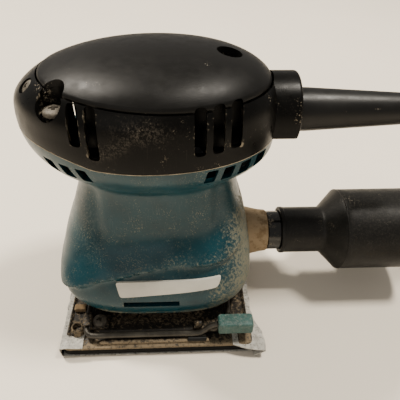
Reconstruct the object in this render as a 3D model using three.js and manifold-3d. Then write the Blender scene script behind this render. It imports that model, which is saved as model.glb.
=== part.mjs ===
// A quarter-sheet orbital sander: two-part plastic body round an upright universal motor, an
// orbiting pad with a wire paper clamp at each end, a dust outlet with a hose adapter, and its cord.
// Millimetres, +Z up. The origin is the centre of the sanding face. +X points to the cord end.
import * as THREE from "three";
import { mergeVertices } from "three/addons/utils/BufferGeometryUtils.js";
import Module from "manifold-3d";

const wasm = await Module();
wasm.setup();

// ---- driving dimensions ----------------------------------------------------------------------
const GAP = 0.3; // between pieces that touch
const WALL = 2.6; // moulded shells
const ORBIT_RADIUS = 0.75; // the pad's circle is 1.5 across
const MOTOR_X = -ORBIT_RADIUS; // the motor's axis; the pad's own axis is the origin's
const SEAM_Z = 108; // where the handle cover meets the motor housing; the seam rises at the nose
const SEAM_RISE = [[-22, 0], [-30, 1.7], [-38, 3.3], [-48, 4.6], [-80, 5.6]];
const SKIRT_Z = 18; // lower edge of the motor housing

const PAD_LENGTH = 101;
const PAD_WIDTH = 112;
const PAPER_THICKNESS = 0.6;
const CUSHION_Z = [0.9, 4.9];
const PLATE_Z = [5.2, 6.9];
const PAPER_TOP_Z = 7.8;
const DECK_Z = 9.4;

const COLLAR = { z: 116, radius: 17, end: 67, bore: 10.7 };
const GUARD = { z: 115, rootRadius: 10.2, tipRadius: 6.1, end: 143 };
const DUST = { z: 36.5, outletRadius: 11.9, outletEnd: 61.8, spoutRadius: 11.2, spoutEnd: 90 };
const ADAPTER = {
  start: 69.5, coneStart: 93.5, coneEnd: 103, end: 150, smallRadius: 13.5, largeRadius: 23.3,
};
const ADAPTER_WALL = 2.1;
const SLOT_X = [-28, -20.8, 21.2, 28.6, 36];
const SLOT = { width: 4.8, floorZ: [118.6, 113.6, 115.4, 115.4, 116], topZ: 134.6 };

const CORD_RADIUS = 3.5;
const COIL = { x: 228, y: -20, midRadius: 42, halfWidth: 15.6, z: [0.8, 15.2] };

// Half-length, half-width and centre of the body at each height, with the powers of the
// superellipse that is its outline there: one for the nose half and one for the cord half.
const BODY = [
  { z: 144, a: 20, b: 13, x: 4.5, nose: 2, tail: 2 },
  { z: 141.6, a: 35, b: 25, x: 3.6, nose: 2, tail: 2 },
  { z: 138, a: 45.6, b: 33, x: 2, nose: 2, tail: 2 },
  { z: 133.4, a: 52.8, b: 37.8, x: 0.6, nose: 2, tail: 2.05 },
  { z: 127, a: 58.2, b: 40.6, x: -0.5, nose: 1.95, tail: 2.1 },
  { z: 119, a: 60, b: 41.7, x: -0.7, nose: 1.85, tail: 2.1 },
  { z: 112, a: 59.8, b: 41.7, x: -0.7, nose: 1.85, tail: 2.1 },
  { z: 106, a: 58.6, b: 41, x: -0.5, nose: 1.85, tail: 2.1 },
  { z: 101, a: 56.8, b: 39.6, x: 0.6, nose: 1.9, tail: 2.1 },
  { z: 96.4, a: 52.6, b: 37, x: 1.5, nose: 2, tail: 2.1 },
  { z: 92.4, a: 45.4, b: 33.8, x: 1.9, nose: 2.1, tail: 2.2 },
  { z: 89, a: 39.4, b: 32, x: 1.8, nose: 2.3, tail: 2.4 },
  { z: 82, a: 39.6, b: 31.3, x: 1.8, nose: 2.4, tail: 2.5 },
  { z: 73, a: 41.8, b: 31.5, x: 1.3, nose: 2.6, tail: 2.6 },
  { z: 63, a: 45, b: 32.6, x: 1, nose: 2.9, tail: 2.9 },
  { z: 54, a: 48, b: 35.6, x: 0.4, nose: 3.2, tail: 3.2 },
  { z: 46, a: 50, b: 40, x: 0, nose: 3.4, tail: 3.4 },
  { z: 39, a: 51.4, b: 43.6, x: -0.4, nose: 3.6, tail: 3.6 },
  { z: 30, a: 51.8, b: 46, x: -0.4, nose: 3.7, tail: 3.7 },
  { z: 23, a: 50.2, b: 45, x: 0, nose: 3.5, tail: 3.5 },
  { z: SKIRT_Z, a: 47, b: 42.4, x: 0.2, nose: 3.4, tail: 3.4 },
];
const CROWN_Z = 144.9;
const OUTLINE_SEGMENTS = 32;
const INNER_SEGMENTS = 22;
const WELL_SEGMENTS = 14;
const GRIP = { floor: 125, x: 3.5, halfLength: 51.5, halfWidth: 38, depth: 2.3, proud: 0.4 };

// ---- shaping helpers -------------------------------------------------------------------------

/** Drop triangles that have lost their area and turn an inside-out mesh round. */
function tidy(geometry) {
  const bare = new THREE.BufferGeometry();
  const flat = geometry.index ? geometry.toNonIndexed() : geometry;
  bare.setAttribute("position", flat.getAttribute("position").clone());
  const merged = mergeVertices(bare, 1e-3);
  const corner = merged.index.array;
  const kept = [];
  for (let i = 0; i < corner.length; i += 3) {
    const [p, q, r] = [corner[i], corner[i + 1], corner[i + 2]];
    if (p !== q && q !== r && r !== p) kept.push(p, q, r);
  }
  merged.setIndex(kept);
  if (signedVolume(merged) < 0) merged.setIndex(kept.reverse());
  return merged;
}

function signedVolume(geometry) {
  const position = geometry.getAttribute("position");
  const corner = geometry.index.array;
  const at = (i) => new THREE.Vector3().fromBufferAttribute(position, corner[i]);
  let sum = 0;
  for (let i = 0; i < corner.length; i += 3) sum += at(i).dot(at(i + 1).cross(at(i + 2)));
  return sum / 6;
}

function solidOf(geometry) {
  const shape = tidy(geometry);
  return new wasm.Manifold(
    new wasm.Mesh({
      numProp: 3,
      vertProperties: new Float32Array(shape.getAttribute("position").array),
      triVerts: new Uint32Array(shape.index.array),
    }),
  );
}

function geometryOf(solid) {
  const mesh = solid.getMesh();
  const geometry = new THREE.BufferGeometry();
  geometry.setAttribute("position", new THREE.BufferAttribute(mesh.vertProperties, 3));
  geometry.setIndex(new THREE.BufferAttribute(mesh.triVerts, 1));
  return geometry;
}

const join = (first, ...rest) => geometryOf(rest.reduce((s, g) => s.add(solidOf(g)), solidOf(first)));
const cut = (first, ...rest) => geometryOf(rest.reduce((s, g) => s.subtract(solidOf(g)), solidOf(first)));
const common = (first, ...rest) => geometryOf(rest.reduce((s, g) => s.intersect(solidOf(g)), solidOf(first)));

/** A box from one corner to the other. */
function block([x0, x1], [y0, y1], [z0, z1]) {
  const box = new THREE.BoxGeometry(x1 - x0, y1 - y0, z1 - z0);
  return box.translate((x0 + x1) / 2, (y0 + y1) / 2, (z0 + z1) / 2);
}

/** A closed profile of [radius, height] points turned round an upright axis. */
function turned(profile, segments, x = 0, y = 0) {
  const points = profile.map(([radius, height]) => new THREE.Vector2(radius, height));
  return new THREE.LatheGeometry(points, segments).rotateX(Math.PI / 2).translate(x, y, 0);
}

/** The same, turned round an axis along X at the given height: the profile's heights run along X. */
function turnedAlongX(profile, segments, z, y = 0) {
  const points = profile.map(([radius, x]) => new THREE.Vector2(radius, x));
  return new THREE.LatheGeometry(points, segments).rotateZ(-Math.PI / 2).translate(0, y, z);
}

/** An upright ring, or a disc where the inner radius is 0. */
function ring(inner, outer, [z0, z1], segments, x = 0, y = 0) {
  const profile = [[inner, z0], [outer, z0], [outer, z1], [inner, z1]];
  if (inner > 0) profile.push([inner, z0]);
  return turned(profile, segments, x, y);
}

/** A flat outline in plan, raised between two heights. */
function raised(outline, [z0, z1], curveSegments = 6) {
  const options = { depth: z1 - z0, bevelEnabled: false, curveSegments };
  return new THREE.ExtrudeGeometry(outline, options).translate(0, 0, z0);
}

/** A side-view outline in X and Z, drawn along Y. */
function drawnAlongY(outline, [y0, y1], curveSegments = 6) {
  const options = { depth: y1 - y0, bevelEnabled: false, curveSegments };
  return new THREE.ExtrudeGeometry(outline, options).rotateX(Math.PI / 2).translate(0, y1, 0);
}

/** A plan rectangle with round corners, centred on a point. */
function roundedRectangle(length, width, corner, x = 0, y = 0) {
  const [h, v] = [length / 2 - corner, width / 2 - corner];
  const shape = new THREE.Shape();
  shape.absarc(x + h, y + v, corner, 0, Math.PI / 2);
  shape.absarc(x - h, y + v, corner, Math.PI / 2, Math.PI);
  shape.absarc(x - h, y - v, corner, Math.PI, 1.5 * Math.PI);
  shape.absarc(x + h, y - v, corner, 1.5 * Math.PI, 2 * Math.PI);
  shape.closePath();
  return shape;
}

/** An outline through straight points, given as [x, y] pairs. */
function polygon(points) {
  return new THREE.Shape(points.map(([x, y]) => new THREE.Vector2(x, y)));
}

/** A round bar along a route of [x, y, z] points. The section's full turn has an even number of sides. */
function bar(route, radius, sides, steps) {
  const curve = new THREE.CatmullRomCurve3(route.map((p) => new THREE.Vector3(...p)), false, "centripetal");
  const section = new THREE.Shape().absarc(0, 0, radius, 0, 2 * Math.PI);
  const options = { steps, extrudePath: curve, bevelEnabled: false, curveSegments: sides / 2 };
  return new THREE.ExtrudeGeometry(section, options);
}

/** The same piece turned half a turn round the pad's upright axis. */
const opposite = (geometry) => geometry.clone().rotateZ(Math.PI);

// ---- the body's outline ----------------------------------------------------------------------

/** Each station moved in square to the body's side view, and further where it lies under the grip. */
function insetStations(offset, underGrip = 0) {
  return BODY.map((station, i) => {
    const above = BODY[Math.max(i - 1, 0)];
    const below = BODY[Math.min(i + 1, BODY.length - 1)];
    const rise = above.z - below.z;
    const spread = (below.a - above.a + below.b - above.b) / 2;
    const slant = Math.atan2(spread, rise);
    const depth = offset + (station.z > GRIP.floor ? underGrip : 0);
    const inward = depth * Math.cos(slant);
    const z = station.z - depth * Math.sin(slant);
    return { ...station, a: station.a - inward, b: station.b - inward, z };
  });
}

/** A turned solid whose circle is drawn out to each station's superellipse. */
function stretchedLathe(stations, segments, topZ, bottomZ) {
  const rows = [{ ...stations[0], a: 0, b: 0, z: topZ }, ...stations];
  const last = stations[stations.length - 1];
  rows.push({ ...last, z: bottomZ }, { ...last, a: 0, b: 0, z: bottomZ });
  const profile = rows.map((row) => new THREE.Vector2(1, row.z));
  const geometry = new THREE.LatheGeometry(profile, segments).rotateX(Math.PI / 2);
  const position = geometry.getAttribute("position");
  for (let i = 0; i < position.count; i++) {
    const row = rows[i % rows.length];
    const turn = Math.atan2(position.getY(i), position.getX(i));
    const [across, along] = [Math.abs(Math.sin(turn)), Math.abs(Math.cos(turn))];
    const power = Math.cos(turn) < 0 ? row.nose : row.tail;
    const reach = row.a > 0 ? ((along / row.a) ** power + (across / row.b) ** power) ** (-1 / power) : 0;
    position.setXY(i, row.x + reach * Math.cos(turn), reach * Math.sin(turn));
  }
  return geometry;
}

/** The body as one solid, moved in by an offset, down to a given height. */
function bodySolid(offset, segments, bottomZ) {
  return stretchedLathe(insetStations(offset), segments, CROWN_Z - offset, bottomZ);
}

/** The same with fewer sides and a deeper crown, for the surfaces that stay hidden. */
function innerBody(offset, bottomZ) {
  const topZ = CROWN_Z - offset - GRIP.depth;
  return stretchedLathe(insetStations(offset, GRIP.depth), INNER_SEGMENTS, topZ, bottomZ);
}

/** Everything above the seam, or below it, moved off it by half the gap. */
function seamSide(up) {
  const seam = [[80, SEAM_Z], ...SEAM_RISE.map(([x, rise]) => [x, SEAM_Z + rise])];
  const line = seam.map(([x, z]) => [x, z + (up ? GAP / 2 : -GAP / 2)]);
  const far = up ? 160 : SKIRT_Z;
  return drawnAlongY(polygon([...line, [-80, far], [80, far]]), [-60, 60]);
}

/** The upright oval that bounds the soft grip in plan. */
function gripColumn(inset) {
  const outline = new THREE.Shape();
  outline.absellipse(GRIP.x, 0, GRIP.halfLength - inset, GRIP.halfWidth - inset, 0, 2 * Math.PI);
  return raised(outline, [122, 150], 16);
}

/** A slot with a round upper end, through the body from side to side. */
function sideSlot(x, floorZ, topZ, width) {
  const half = width / 2;
  const outline = new THREE.Shape();
  outline.moveTo(x - half, floorZ);
  outline.lineTo(x + half, floorZ);
  outline.absarc(x, topZ - half, half, 0, Math.PI);
  outline.closePath();
  return drawnAlongY(outline, [-60, 60], 4);
}

const sideSlots = () => SLOT_X.map((x, i) => sideSlot(x, SLOT.floorZ[i], SLOT.topZ, SLOT.width));

/** Slanting air vents under the seam, through both sides. */
function bowlVents() {
  const [top, floor, width] = [SEAM_Z - 1.3, 99.4, 4.8];
  const leaning = (x, lean) => {
    const outline = polygon([[x, top], [x + lean, floor], [x + lean + width, floor], [x + width, top]]);
    return drawnAlongY(outline, [-60, 60]);
  };
  const front = [-46, -38.5, -31].map((x) => leaning(x, 2.6));
  const rear = [24.5, 32, 39.5, 47].map((x) => leaning(x, -1.8));
  return [...front, ...rear];
}

// ---- the two casings -------------------------------------------------------------------------

const COVER_SCREWS = [
  { x: -37.2, y: -23.8, seat: 126.6, hole: 6 },
  { x: -37.2, y: 23.8, seat: 126.6, hole: 6 },
  { x: 35, y: 0, seat: 135, hole: 5.6 },
];
const SCREW_HEAD = { radius: 4.6, height: 2.6 };
const NOSE = { x: -50.6, y: -10.4, z: 132.2, lean: Math.PI / 4, turn: Math.PI / 8, radius: 3.4 };

/** An upright solid laid square to the nose's slope, for the small screw and its recess. */
function onNose(geometry) {
  return geometry.rotateY(-NOSE.lean).rotateZ(NOSE.turn).translate(NOSE.x, NOSE.y, NOSE.z);
}

/** The shallow oval tray that the soft grip fills. */
const gripSeat = cut(gripColumn(0), bodySolid(GRIP.depth, OUTLINE_SEGMENTS, 100));

/** Both casings as one hollow solid, collar included, before they are parted at the seam. */
function casings() {
  const { radius, end } = COLLAR;
  const rim = [[radius, end - 1.5], [radius - 1.5, end]];
  const collar = turnedAlongX([[0, 40], [radius, 40], ...rim, [0, end]], 32, COLLAR.z);
  const outer = join(bodySolid(0, OUTLINE_SEGMENTS, SKIRT_Z), collar);
  const hollow = innerBody(WALL, SKIRT_Z - 5);
  const collarHollow = turnedAlongX([[0, 30], [14.4, 30], [14.4, 64.4], [0, 64.4]], 28, COLLAR.z);
  const mouth = turnedAlongX([[0, 60], [COLLAR.bore, 60], [COLLAR.bore, 70], [0, 70]], 28, GUARD.z);
  return cut(outer, gripSeat, join(hollow, collarHollow), mouth);
}

const shell = casings();

function handleCover() {
  const upper = common(shell, seamSide(true));
  const pillars = COVER_SCREWS.map(({ x, y, hole }) =>
    common(ring(0, hole + 1.8, [SEAM_Z + 8, 150], WELL_SEGMENTS, x, y), innerBody(GAP, 100)),
  );
  const wells = COVER_SCREWS.map(({ x, y, seat, hole }) => ring(0, hole, [seat, 150], WELL_SEGMENTS, x, y));
  const noseWell = onNose(ring(0, NOSE.radius + GAP, [-1.6, 8], WELL_SEGMENTS));
  const noseColumn = onNose(ring(0, NOSE.radius + 2.4, [-6, 0.5], WELL_SEGMENTS));
  const noseBoss = cut(common(noseColumn, bodySolid(0.1, 24, 100)), gripSeat);
  const rockerHole = block([-11.3, 11.3], [34, 48], [113.2, 125.8]);
  const slotted = cut(upper, ...sideSlots(), rockerHole);
  return cut(join(slotted, ...pillars, noseBoss), ...wells, noseWell);
}

function topGrip() {
  const column = common(bodySolid(-GRIP.proud, OUTLINE_SEGMENTS, 100), gripColumn(GAP));
  const skin = cut(column, bodySolid(GRIP.depth - GAP, OUTLINE_SEGMENTS, 90));
  const wells = COVER_SCREWS.map(({ x, y, hole }) => ring(0, hole, [110, 160], WELL_SEGMENTS, x, y));
  return cut(skin, ...wells, ...sideSlots());
}

function motorHousing() {
  const lower = common(shell, seamSide(false));
  const bearingSeat = ring(9.8, 12.6, [103.6, 107.8], 24, MOTOR_X);
  const arms = [
    block([-54, MOTOR_X - 10.5], [-4, 4], [103.6, 106.4]),
    block([MOTOR_X + 10.5, 54], [-4, 4], [103.6, 106.4]),
  ];
  const ribs = [
    block([-40, MOTOR_X - 28], [-1.5, 1.5], [58, 86]),
    block([MOTOR_X + 28, 42], [-1.5, 1.5], [58, 86]),
  ];
  const inside = innerBody(1, SKIRT_Z);
  const fittings = common(join(bearingSeat, ...arms), inside);
  const braces = ribs.map((rib) => common(rib, inside));
  const dustHole = turnedAlongX([[0, 30], [12.2, 30], [12.2, 70], [0, 70]], 28, DUST.z);
  const frontSlot = block([-16.8, 11.6], [-50, -38], [27.9, 31.4]);
  const vented = cut(lower, dustHole, frontSlot, ...bowlVents());
  return join(vented, fittings, ...braces);
}

/** A pan-head screw standing upright, with a cross recess in its head. */
function screw(headRadius, headHeight, shankRadius, shankLength) {
  const crown = [[headRadius, headHeight * 0.5], [headRadius * 0.7, headHeight]];
  const head = turned([[0, 0], [headRadius, 0], ...crown, [0, headHeight]], 14);
  const shank = ring(0, shankRadius, [-shankLength, 0.2], 10);
  const [arm, half] = [headRadius * 0.55, headRadius * 0.13];
  const cross = [
    block([-arm, arm], [-half, half], [headHeight * 0.35, headHeight + 1]),
    block([-half, half], [-arm, arm], [headHeight * 0.35, headHeight + 1]),
  ];
  return cut(join(head, shank), ...cross);
}

const coverScrew = ({ x, y, seat }) =>
  screw(SCREW_HEAD.radius, SCREW_HEAD.height, 1.9, 0.1).translate(x, y, seat + GAP);

/** A plain slanting bar, blank on its face, that follows the housing's near side. */
function nameBadge() {
  const outline = polygon([[-18, 35], [31, 38.2], [33, 43.4], [-20, 43.4]]);
  const slab = drawnAlongY(outline, [-50, -35]);
  const under = bodySolid(-GAP, OUTLINE_SEGMENTS, SKIRT_Z - 2);
  return common(cut(bodySolid(-1.1, OUTLINE_SEGMENTS, SKIRT_Z), under), slab);
}

// ---- dust outlet, hose adapter, cord guard ---------------------------------------------------

function dustOutlet() {
  const { outletRadius, outletEnd, z } = DUST;
  const flange = [[10.6, 43], [13.6, 43], [13.6, 45]];
  const tube = [[outletRadius, 45.6], [outletRadius, outletEnd], [10.6, outletEnd]];
  return turnedAlongX([...flange, ...tube, flange[0]], 28, z);
}

function dustSpout() {
  const { spoutRadius, spoutEnd, outletEnd, z } = DUST;
  const step = outletEnd + GAP;
  const sleeve = [[8.6, 44], [10.3, 44], [10.3, step]];
  const pipe = [[spoutRadius, step], [spoutRadius - 0.3, spoutEnd], [8.6, spoutEnd]];
  return turnedAlongX([...sleeve, ...pipe, sleeve[0]], 28, z);
}

function hoseAdapter() {
  const { start, smallRadius, coneStart, coneEnd, largeRadius, end } = ADAPTER;
  const outside = [
    [smallRadius - 0.8, start],
    [smallRadius, start + 0.8],
    [smallRadius, coneStart],
    [largeRadius, coneEnd],
    [largeRadius, end],
  ];
  const inside = [
    [largeRadius - ADAPTER_WALL, end],
    [largeRadius - ADAPTER_WALL, coneEnd + 1.4],
    [smallRadius - ADAPTER_WALL, coneStart + 1.4],
    [smallRadius - ADAPTER_WALL + 0.2, start],
  ];
  return turnedAlongX([...outside, ...inside, outside[0]], 28, DUST.z);
}

function cordGuard() {
  const { rootRadius, tipRadius, end, z } = GUARD;
  const flange = [[0, 57.5], [12.8, 57.5], [12.8, 61.5]];
  const sleeve = [[rootRadius, 62.4], [rootRadius, 72], [tipRadius, end], [0, end]];
  return turnedAlongX([...flange, ...sleeve], 24, z);
}

/** The saddle that holds the cord inside the collar, between the two casings. */
function cordClamp() {
  const saddle = block([46, 56.5], [-11, 11], [109, 122]);
  const bore = turnedAlongX([[0, 40], [4.1, 40], [4.1, 60], [0, 60]], 16, GUARD.z);
  return cut(saddle, bore, block([40, 60], [-3.4, 3.4], [GUARD.z, 130]));
}

// ---- motor -----------------------------------------------------------------------------------

/** Shaft with the eccentric pin at its foot. */
function motorShaft() {
  const lower = [[0, 19.6], [5.7, 19.6], [5.7, 44], [4.7, 44], [4.7, 55]];
  const upper = [[4, 55], [4, 113], [3.4, 113.6], [0, 113.6]];
  const pin = ring(0, 4.7, [10.4, 20], 20);
  return join(turned([...lower, ...upper], 24, MOTOR_X), pin);
}

/** A half-disc weight on the side away from the eccentric pin. */
function counterweight() {
  const outline = new THREE.Shape();
  outline.absarc(MOTOR_X, 0, 10.5, -Math.PI * 0.42, Math.PI * 0.42);
  outline.absarc(MOTOR_X, 0, 24, Math.PI * 0.62, Math.PI * 1.38);
  outline.closePath();
  const bore = new THREE.Path().absarc(MOTOR_X, 0, 5.7 + GAP, 0, 2 * Math.PI, true);
  outline.holes.push(bore);
  return raised(outline, [21, 30], 12);
}

const FAN_BLADES = 9;

function coolingFan() {
  const hub = ring(5, 9.5, [45, 54], 20, MOTOR_X);
  const disc = ring(5, 27, [45, 46.4], 30, MOTOR_X);
  const blades = Array.from({ length: FAN_BLADES }, (_, i) =>
    block([8.5, 26.5], [-0.7, 0.7], [46, 53.4])
      .rotateZ((i * 2 * Math.PI) / FAN_BLADES)
      .translate(MOTOR_X, 0, 0),
  );
  return join(hub, disc, ...blades);
}

function statorCore() {
  const stack = ring(16.2, 27.4, [60, 86], 40, MOTOR_X);
  const slots = [-1, 1].flatMap((side) =>
    [-1, 1].map((half) => {
      const x = [14.8, 20.4].map((reach) => MOTOR_X + side * reach).sort((p, q) => p - q);
      const y = [10.1, 15.9].map((reach) => half * reach).sort((p, q) => p - q);
      return block(x, y, [55, 90]);
    }),
  );
  return cut(stack, ...slots);
}

/** A field coil: an upright frame of wire round the pole on one side. */
function fieldCoil(side) {
  const x = [15.2, 20].map((reach) => MOTOR_X + side * reach).sort((p, q) => p - q);
  return cut(block(x, [-15.5, 15.5], [55.6, 90.6]), block([x[0] - 1, x[1] + 1], [-10.5, 10.5], [59.7, 86.3]));
}

const ARMATURE_SLOTS = 12;
const slotTurn = (i) => (i * 2 * Math.PI) / ARMATURE_SLOTS;

function armatureCore() {
  const slots = Array.from({ length: ARMATURE_SLOTS }, (_, i) =>
    block([9.6, 17], [-1.1, 1.1], [55, 90])
      .rotateZ(slotTurn(i))
      .translate(MOTOR_X, 0, 0),
  );
  return cut(ring(4.3, 15.7, [60.2, 86], 36, MOTOR_X), ...slots);
}

function armatureWinding() {
  const ends = [ring(6.5, 14.6, [56, 59.8], 24, MOTOR_X), ring(6.5, 14.6, [86.4, 91.5], 24, MOTOR_X)];
  const bars = Array.from({ length: ARMATURE_SLOTS }, (_, i) =>
    block([10, 14.2], [-0.75, 0.75], [59, 87])
      .rotateZ(slotTurn(i))
      .translate(MOTOR_X, 0, 0),
  );
  return join(ends[0], ends[1], ...bars);
}

const commutator = () => ring(4.3, 9, [92.5, 102.6], 24, MOTOR_X);

function brush(side) {
  const y = [9.5, 19].map((reach) => side * reach).sort((p, q) => p - q);
  return block([MOTOR_X - 2.5, MOTOR_X + 2.5], y, [94.6, 100.6]);
}

function brushHolder(side) {
  const y = [11.5, 24].map((reach) => side * reach).sort((p, q) => p - q);
  const bore = [11, 22.4].map((reach) => side * reach).sort((p, q) => p - q);
  return cut(
    block([MOTOR_X - 4.2, MOTOR_X + 4.2], y, [92.9, 102.3]),
    block([MOTOR_X - 2.8, MOTOR_X + 2.8], bore, [94.3, 100.9]),
  );
}

const lowerBearing = () => ring(6, 13.6, [34, 42], 24, MOTOR_X);
const upperBearing = () => ring(4.3, 9.5, [104, 110], 24, MOTOR_X);
const padBearing = () => ring(5, 13, [10.4, 18.4], 24);

/** The plate across the housing that carries the lower bearing and the four feet. */
function bearingPlate() {
  const outline = roundedRectangle(86, 74, 16);
  const hub = ring(0, 17, [33.6, 42.4], 24, MOTOR_X);
  const bore = ring(0, 13.6 + GAP, [30, 50], 24, MOTOR_X);
  const windows = [-1, 1].map((side) => raised(roundedRectangle(12, 30, 4, side * 33, 0), [30, 45], 3));
  return cut(join(raised(outline, [36, 39], 4), hub), bore, ...windows);
}

// ---- feet and switch -------------------------------------------------------------------------

const FOOT = { x: 27.5, y: 31 };

/** A waisted rubber foot between the pad's deck and the bearing plate. */
function rubberFoot(x, y) {
  const [foot, top] = [DECK_Z + GAP, 36 - GAP];
  const lower = [[0, foot], [6.6, foot], [6.6, foot + 4], [4.6, foot + 8]];
  const upper = [[4.6, top - 8], [6.6, top - 4], [6.6, top], [0, top]];
  return turned([...lower, ...upper], 14, x, y);
}

const ROCKER = { halfLength: 10.2, z: [113.7, 125.3] };

const switchBody = () => block([-10, 10], [12, 32.2], [112.5, 126.5]);

/** A rocker with its rear half standing out. It turns about an upright axis at x 0, y 38.5. */
function switchRocker() {
  const end = ROCKER.halfLength;
  const face = [[-end, 41.6], [0, 42.9], [end, 43.8]];
  const heel = [[end - 0.4, 37], [3, 33.2], [-3, 33.2], [-end + 0.4, 37]];
  return raised(polygon([...face, ...heel]), ROCKER.z);
}

// ---- pad -------------------------------------------------------------------------------------

/** The abrasive sheet: flat under the pad, up both ends and folded over the plate. */
function sandingSheet() {
  const half = PAD_LENGTH / 2 + 0.8;
  const [t, top, flap] = [PAPER_THICKNESS, PAPER_TOP_Z, 37];
  const outer = [[-flap, top], [-half, top], [-half, 0], [half, 0], [half, top], [flap, top]];
  const innerRear = [[flap, top - t], [half - t, top - t], [half - t, t]];
  const innerFront = [[-half + t, t], [-half + t, top - t], [-flap, top - t]];
  const outline = polygon([...outer, ...innerRear, ...innerFront]);
  return drawnAlongY(outline, [-PAD_WIDTH / 2 - 0.3, PAD_WIDTH / 2 + 0.3]);
}

const padCushion = () => raised(roundedRectangle(PAD_LENGTH - 0.4, PAD_WIDTH - 0.4, 4), CUSHION_Z, 3);

/** Pressed plate with a raised deck, two long ribs and the bearing's hub. */
function basePlate() {
  const flange = raised(roundedRectangle(PAD_LENGTH - 0.6, PAD_WIDTH, 3), PLATE_Z, 3);
  const deck = raised(roundedRectangle(70, 96, 6), [PLATE_Z[0] + 0.2, DECK_Z], 3);
  const rib = (side) => raised(roundedRectangle(56, 2.4, 1.1, 0, side * 53.4), [PLATE_Z[0] + 0.2, 9.2], 2);
  const hub = ring(0, 17, [PLATE_Z[0] + 0.2, 18.6], 24);
  const bore = ring(0, 13 + GAP, [10, 30], 24);
  const tray = raised(roundedRectangle(40, 84, 4, 0, 0), [DECK_Z - 1.2, 30], 3);
  const dished = cut(join(flange, deck, rib(-1), rib(1)), cut(tray, ring(0, 19, [0, 40], 24)));
  return cut(join(dished, hub), bore);
}

/** The strip that presses the folded end of the sheet onto the plate. */
function clampStrip() {
  const outline = polygon([[-48.6, 8.1], [-40, 8.1], [-39.9, 9.3], [-47.2, 9.3], [-48.6, 10.3]]);
  return drawnAlongY(outline, [-49, 49]);
}

const WIRE = { radius: 1.5, x: -38.2, z: 11.2, y: -51.2, farEnd: 40 };

/** The wire lever: its axle lies across the pad, and its arm runs along the near edge to the grip. */
function wireLever() {
  const { x, y, z } = WIRE;
  const route = [
    [x, WIRE.farEnd, z],
    [x, 20, z],
    [x, -20, z],
    [x, -42, z],
    [x, y + 4.5, z],
    [x + 1.3, y + 1.3, z],
    [x + 4.5, y, z],
    [x + 12, y, z],
    [0, y, z],
    [18, y, z],
    [22, y, z + 0.6],
    [27, y + 0.6, z + 4.6],
    [31, y + 0.9, z + 5.9],
    [35, y + 1, z + 6],
    [45, y + 1, z + 6],
  ];
  return bar(route, WIRE.radius, 6, 36);
}

function leverGrip() {
  const outline = roundedRectangle(17, 6.6, 2.4, 40.6, 17.2);
  const bevel = { bevelEnabled: true, bevelSize: 0.8, bevelThickness: 0.8, bevelSegments: 1 };
  const body = new THREE.ExtrudeGeometry(outline, { depth: 6.4, curveSegments: 3, ...bevel });
  const radius = WIRE.radius + GAP;
  const bore = turnedAlongX([[0, 30], [radius, 30], [radius, 45.6], [0, 45.6]], 10, WIRE.z + 6, WIRE.y + 1);
  return cut(body.rotateX(Math.PI / 2).translate(0, -47, 0), bore);
}

const BRACKET_SCREW = { x: -31.4, y: -42.6 };

/** A clip under the large screw, with a lip over the wire's axle. */
function leverBracket() {
  const outline = polygon([
    [-26.6, 9.7],
    [-26.6, 10.9],
    [-35.1, 10.9],
    [-35.3, 13.6],
    [-36.2, 14.4],
    [-39.6, 14.4],
    [-39.6, 13.2],
    [-36.8, 13.2],
    [-36.2, 12.6],
    [-36.2, 9.7],
  ]);
  return drawnAlongY(outline, [-46.6, -38.4]);
}

const bracketScrew = () => screw(3.7, 3, 1.6, 0.1).translate(BRACKET_SCREW.x, BRACKET_SCREW.y, 10.9 + GAP);

/** The upright tab that the arm springs behind, with its foot on the flange. */
function leverHook() {
  const foot = block([19, 30.4], [-49.1, -42.4], [9.7, 10.9]);
  const upright = block([19.6, 23.2], [-49.1, -47.9], [10.5, 17.2]);
  return join(foot, upright);
}

// ---- cord ------------------------------------------------------------------------------------

const CORD_ROUTE = [
  [GUARD.end + GAP, 0, 115],
  [153, 0.2, 114.4],
  [163, 1, 112],
  [172, 2.8, 106.8],
  [179.5, 5.6, 99],
  [185.6, 9.2, 89],
  [190.8, 13.6, 77.5],
  [195.6, 18.6, 65],
  [200.6, 23.8, 52.2],
  [206.4, 29, 39.6],
  [213.8, 33.6, 28],
  [223.4, 36.6, 18.2],
  [234.4, 36.4, 10.6],
  [245, 32.4, 6.2],
  [255, 26.8, 4.4],
];
const PLUG = { x: 167, y: -76, z: 8.2 };
const TAIL_ROUTE = [
  [228, -74, 11.4],
  [220, -74.4, 10.9],
  [212, -75, 9.6],
  [204, -75.7, 8.5],
  [198, PLUG.y, PLUG.z],
  [192.3, PLUG.y, PLUG.z],
];

const coilSection = (grown) => ring(
  COIL.midRadius - COIL.halfWidth - grown,
  COIL.midRadius + COIL.halfWidth + grown,
  [COIL.z[0] - grown, COIL.z[1] + grown],
  32,
  COIL.x,
  COIL.y,
);
const cordCoil = () => coilSection(0);
const powerCord = () => cut(bar(CORD_ROUTE, CORD_RADIUS, 8, 32), coilSection(GAP));
const cordTail = () => cut(bar(TAIL_ROUTE, CORD_RADIUS, 8, 8), coilSection(GAP));

/** A strap round the coil's turns. */
function cordTie() {
  const [inner, outer] = [COIL.midRadius - COIL.halfWidth, COIL.midRadius + COIL.halfWidth];
  const [near, far] = [inner - 1.4, outer + 0.9];
  const strap = cut(
    block([near, far], [-4, 4], [0, COIL.z[1] + 0.9]),
    block([near + 0.6, far - 0.6], [-5, 5], [0.5, COIL.z[1] + 0.3]),
  );
  return strap.rotateZ(Math.PI * 0.12).translate(COIL.x, COIL.y, 0);
}

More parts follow.
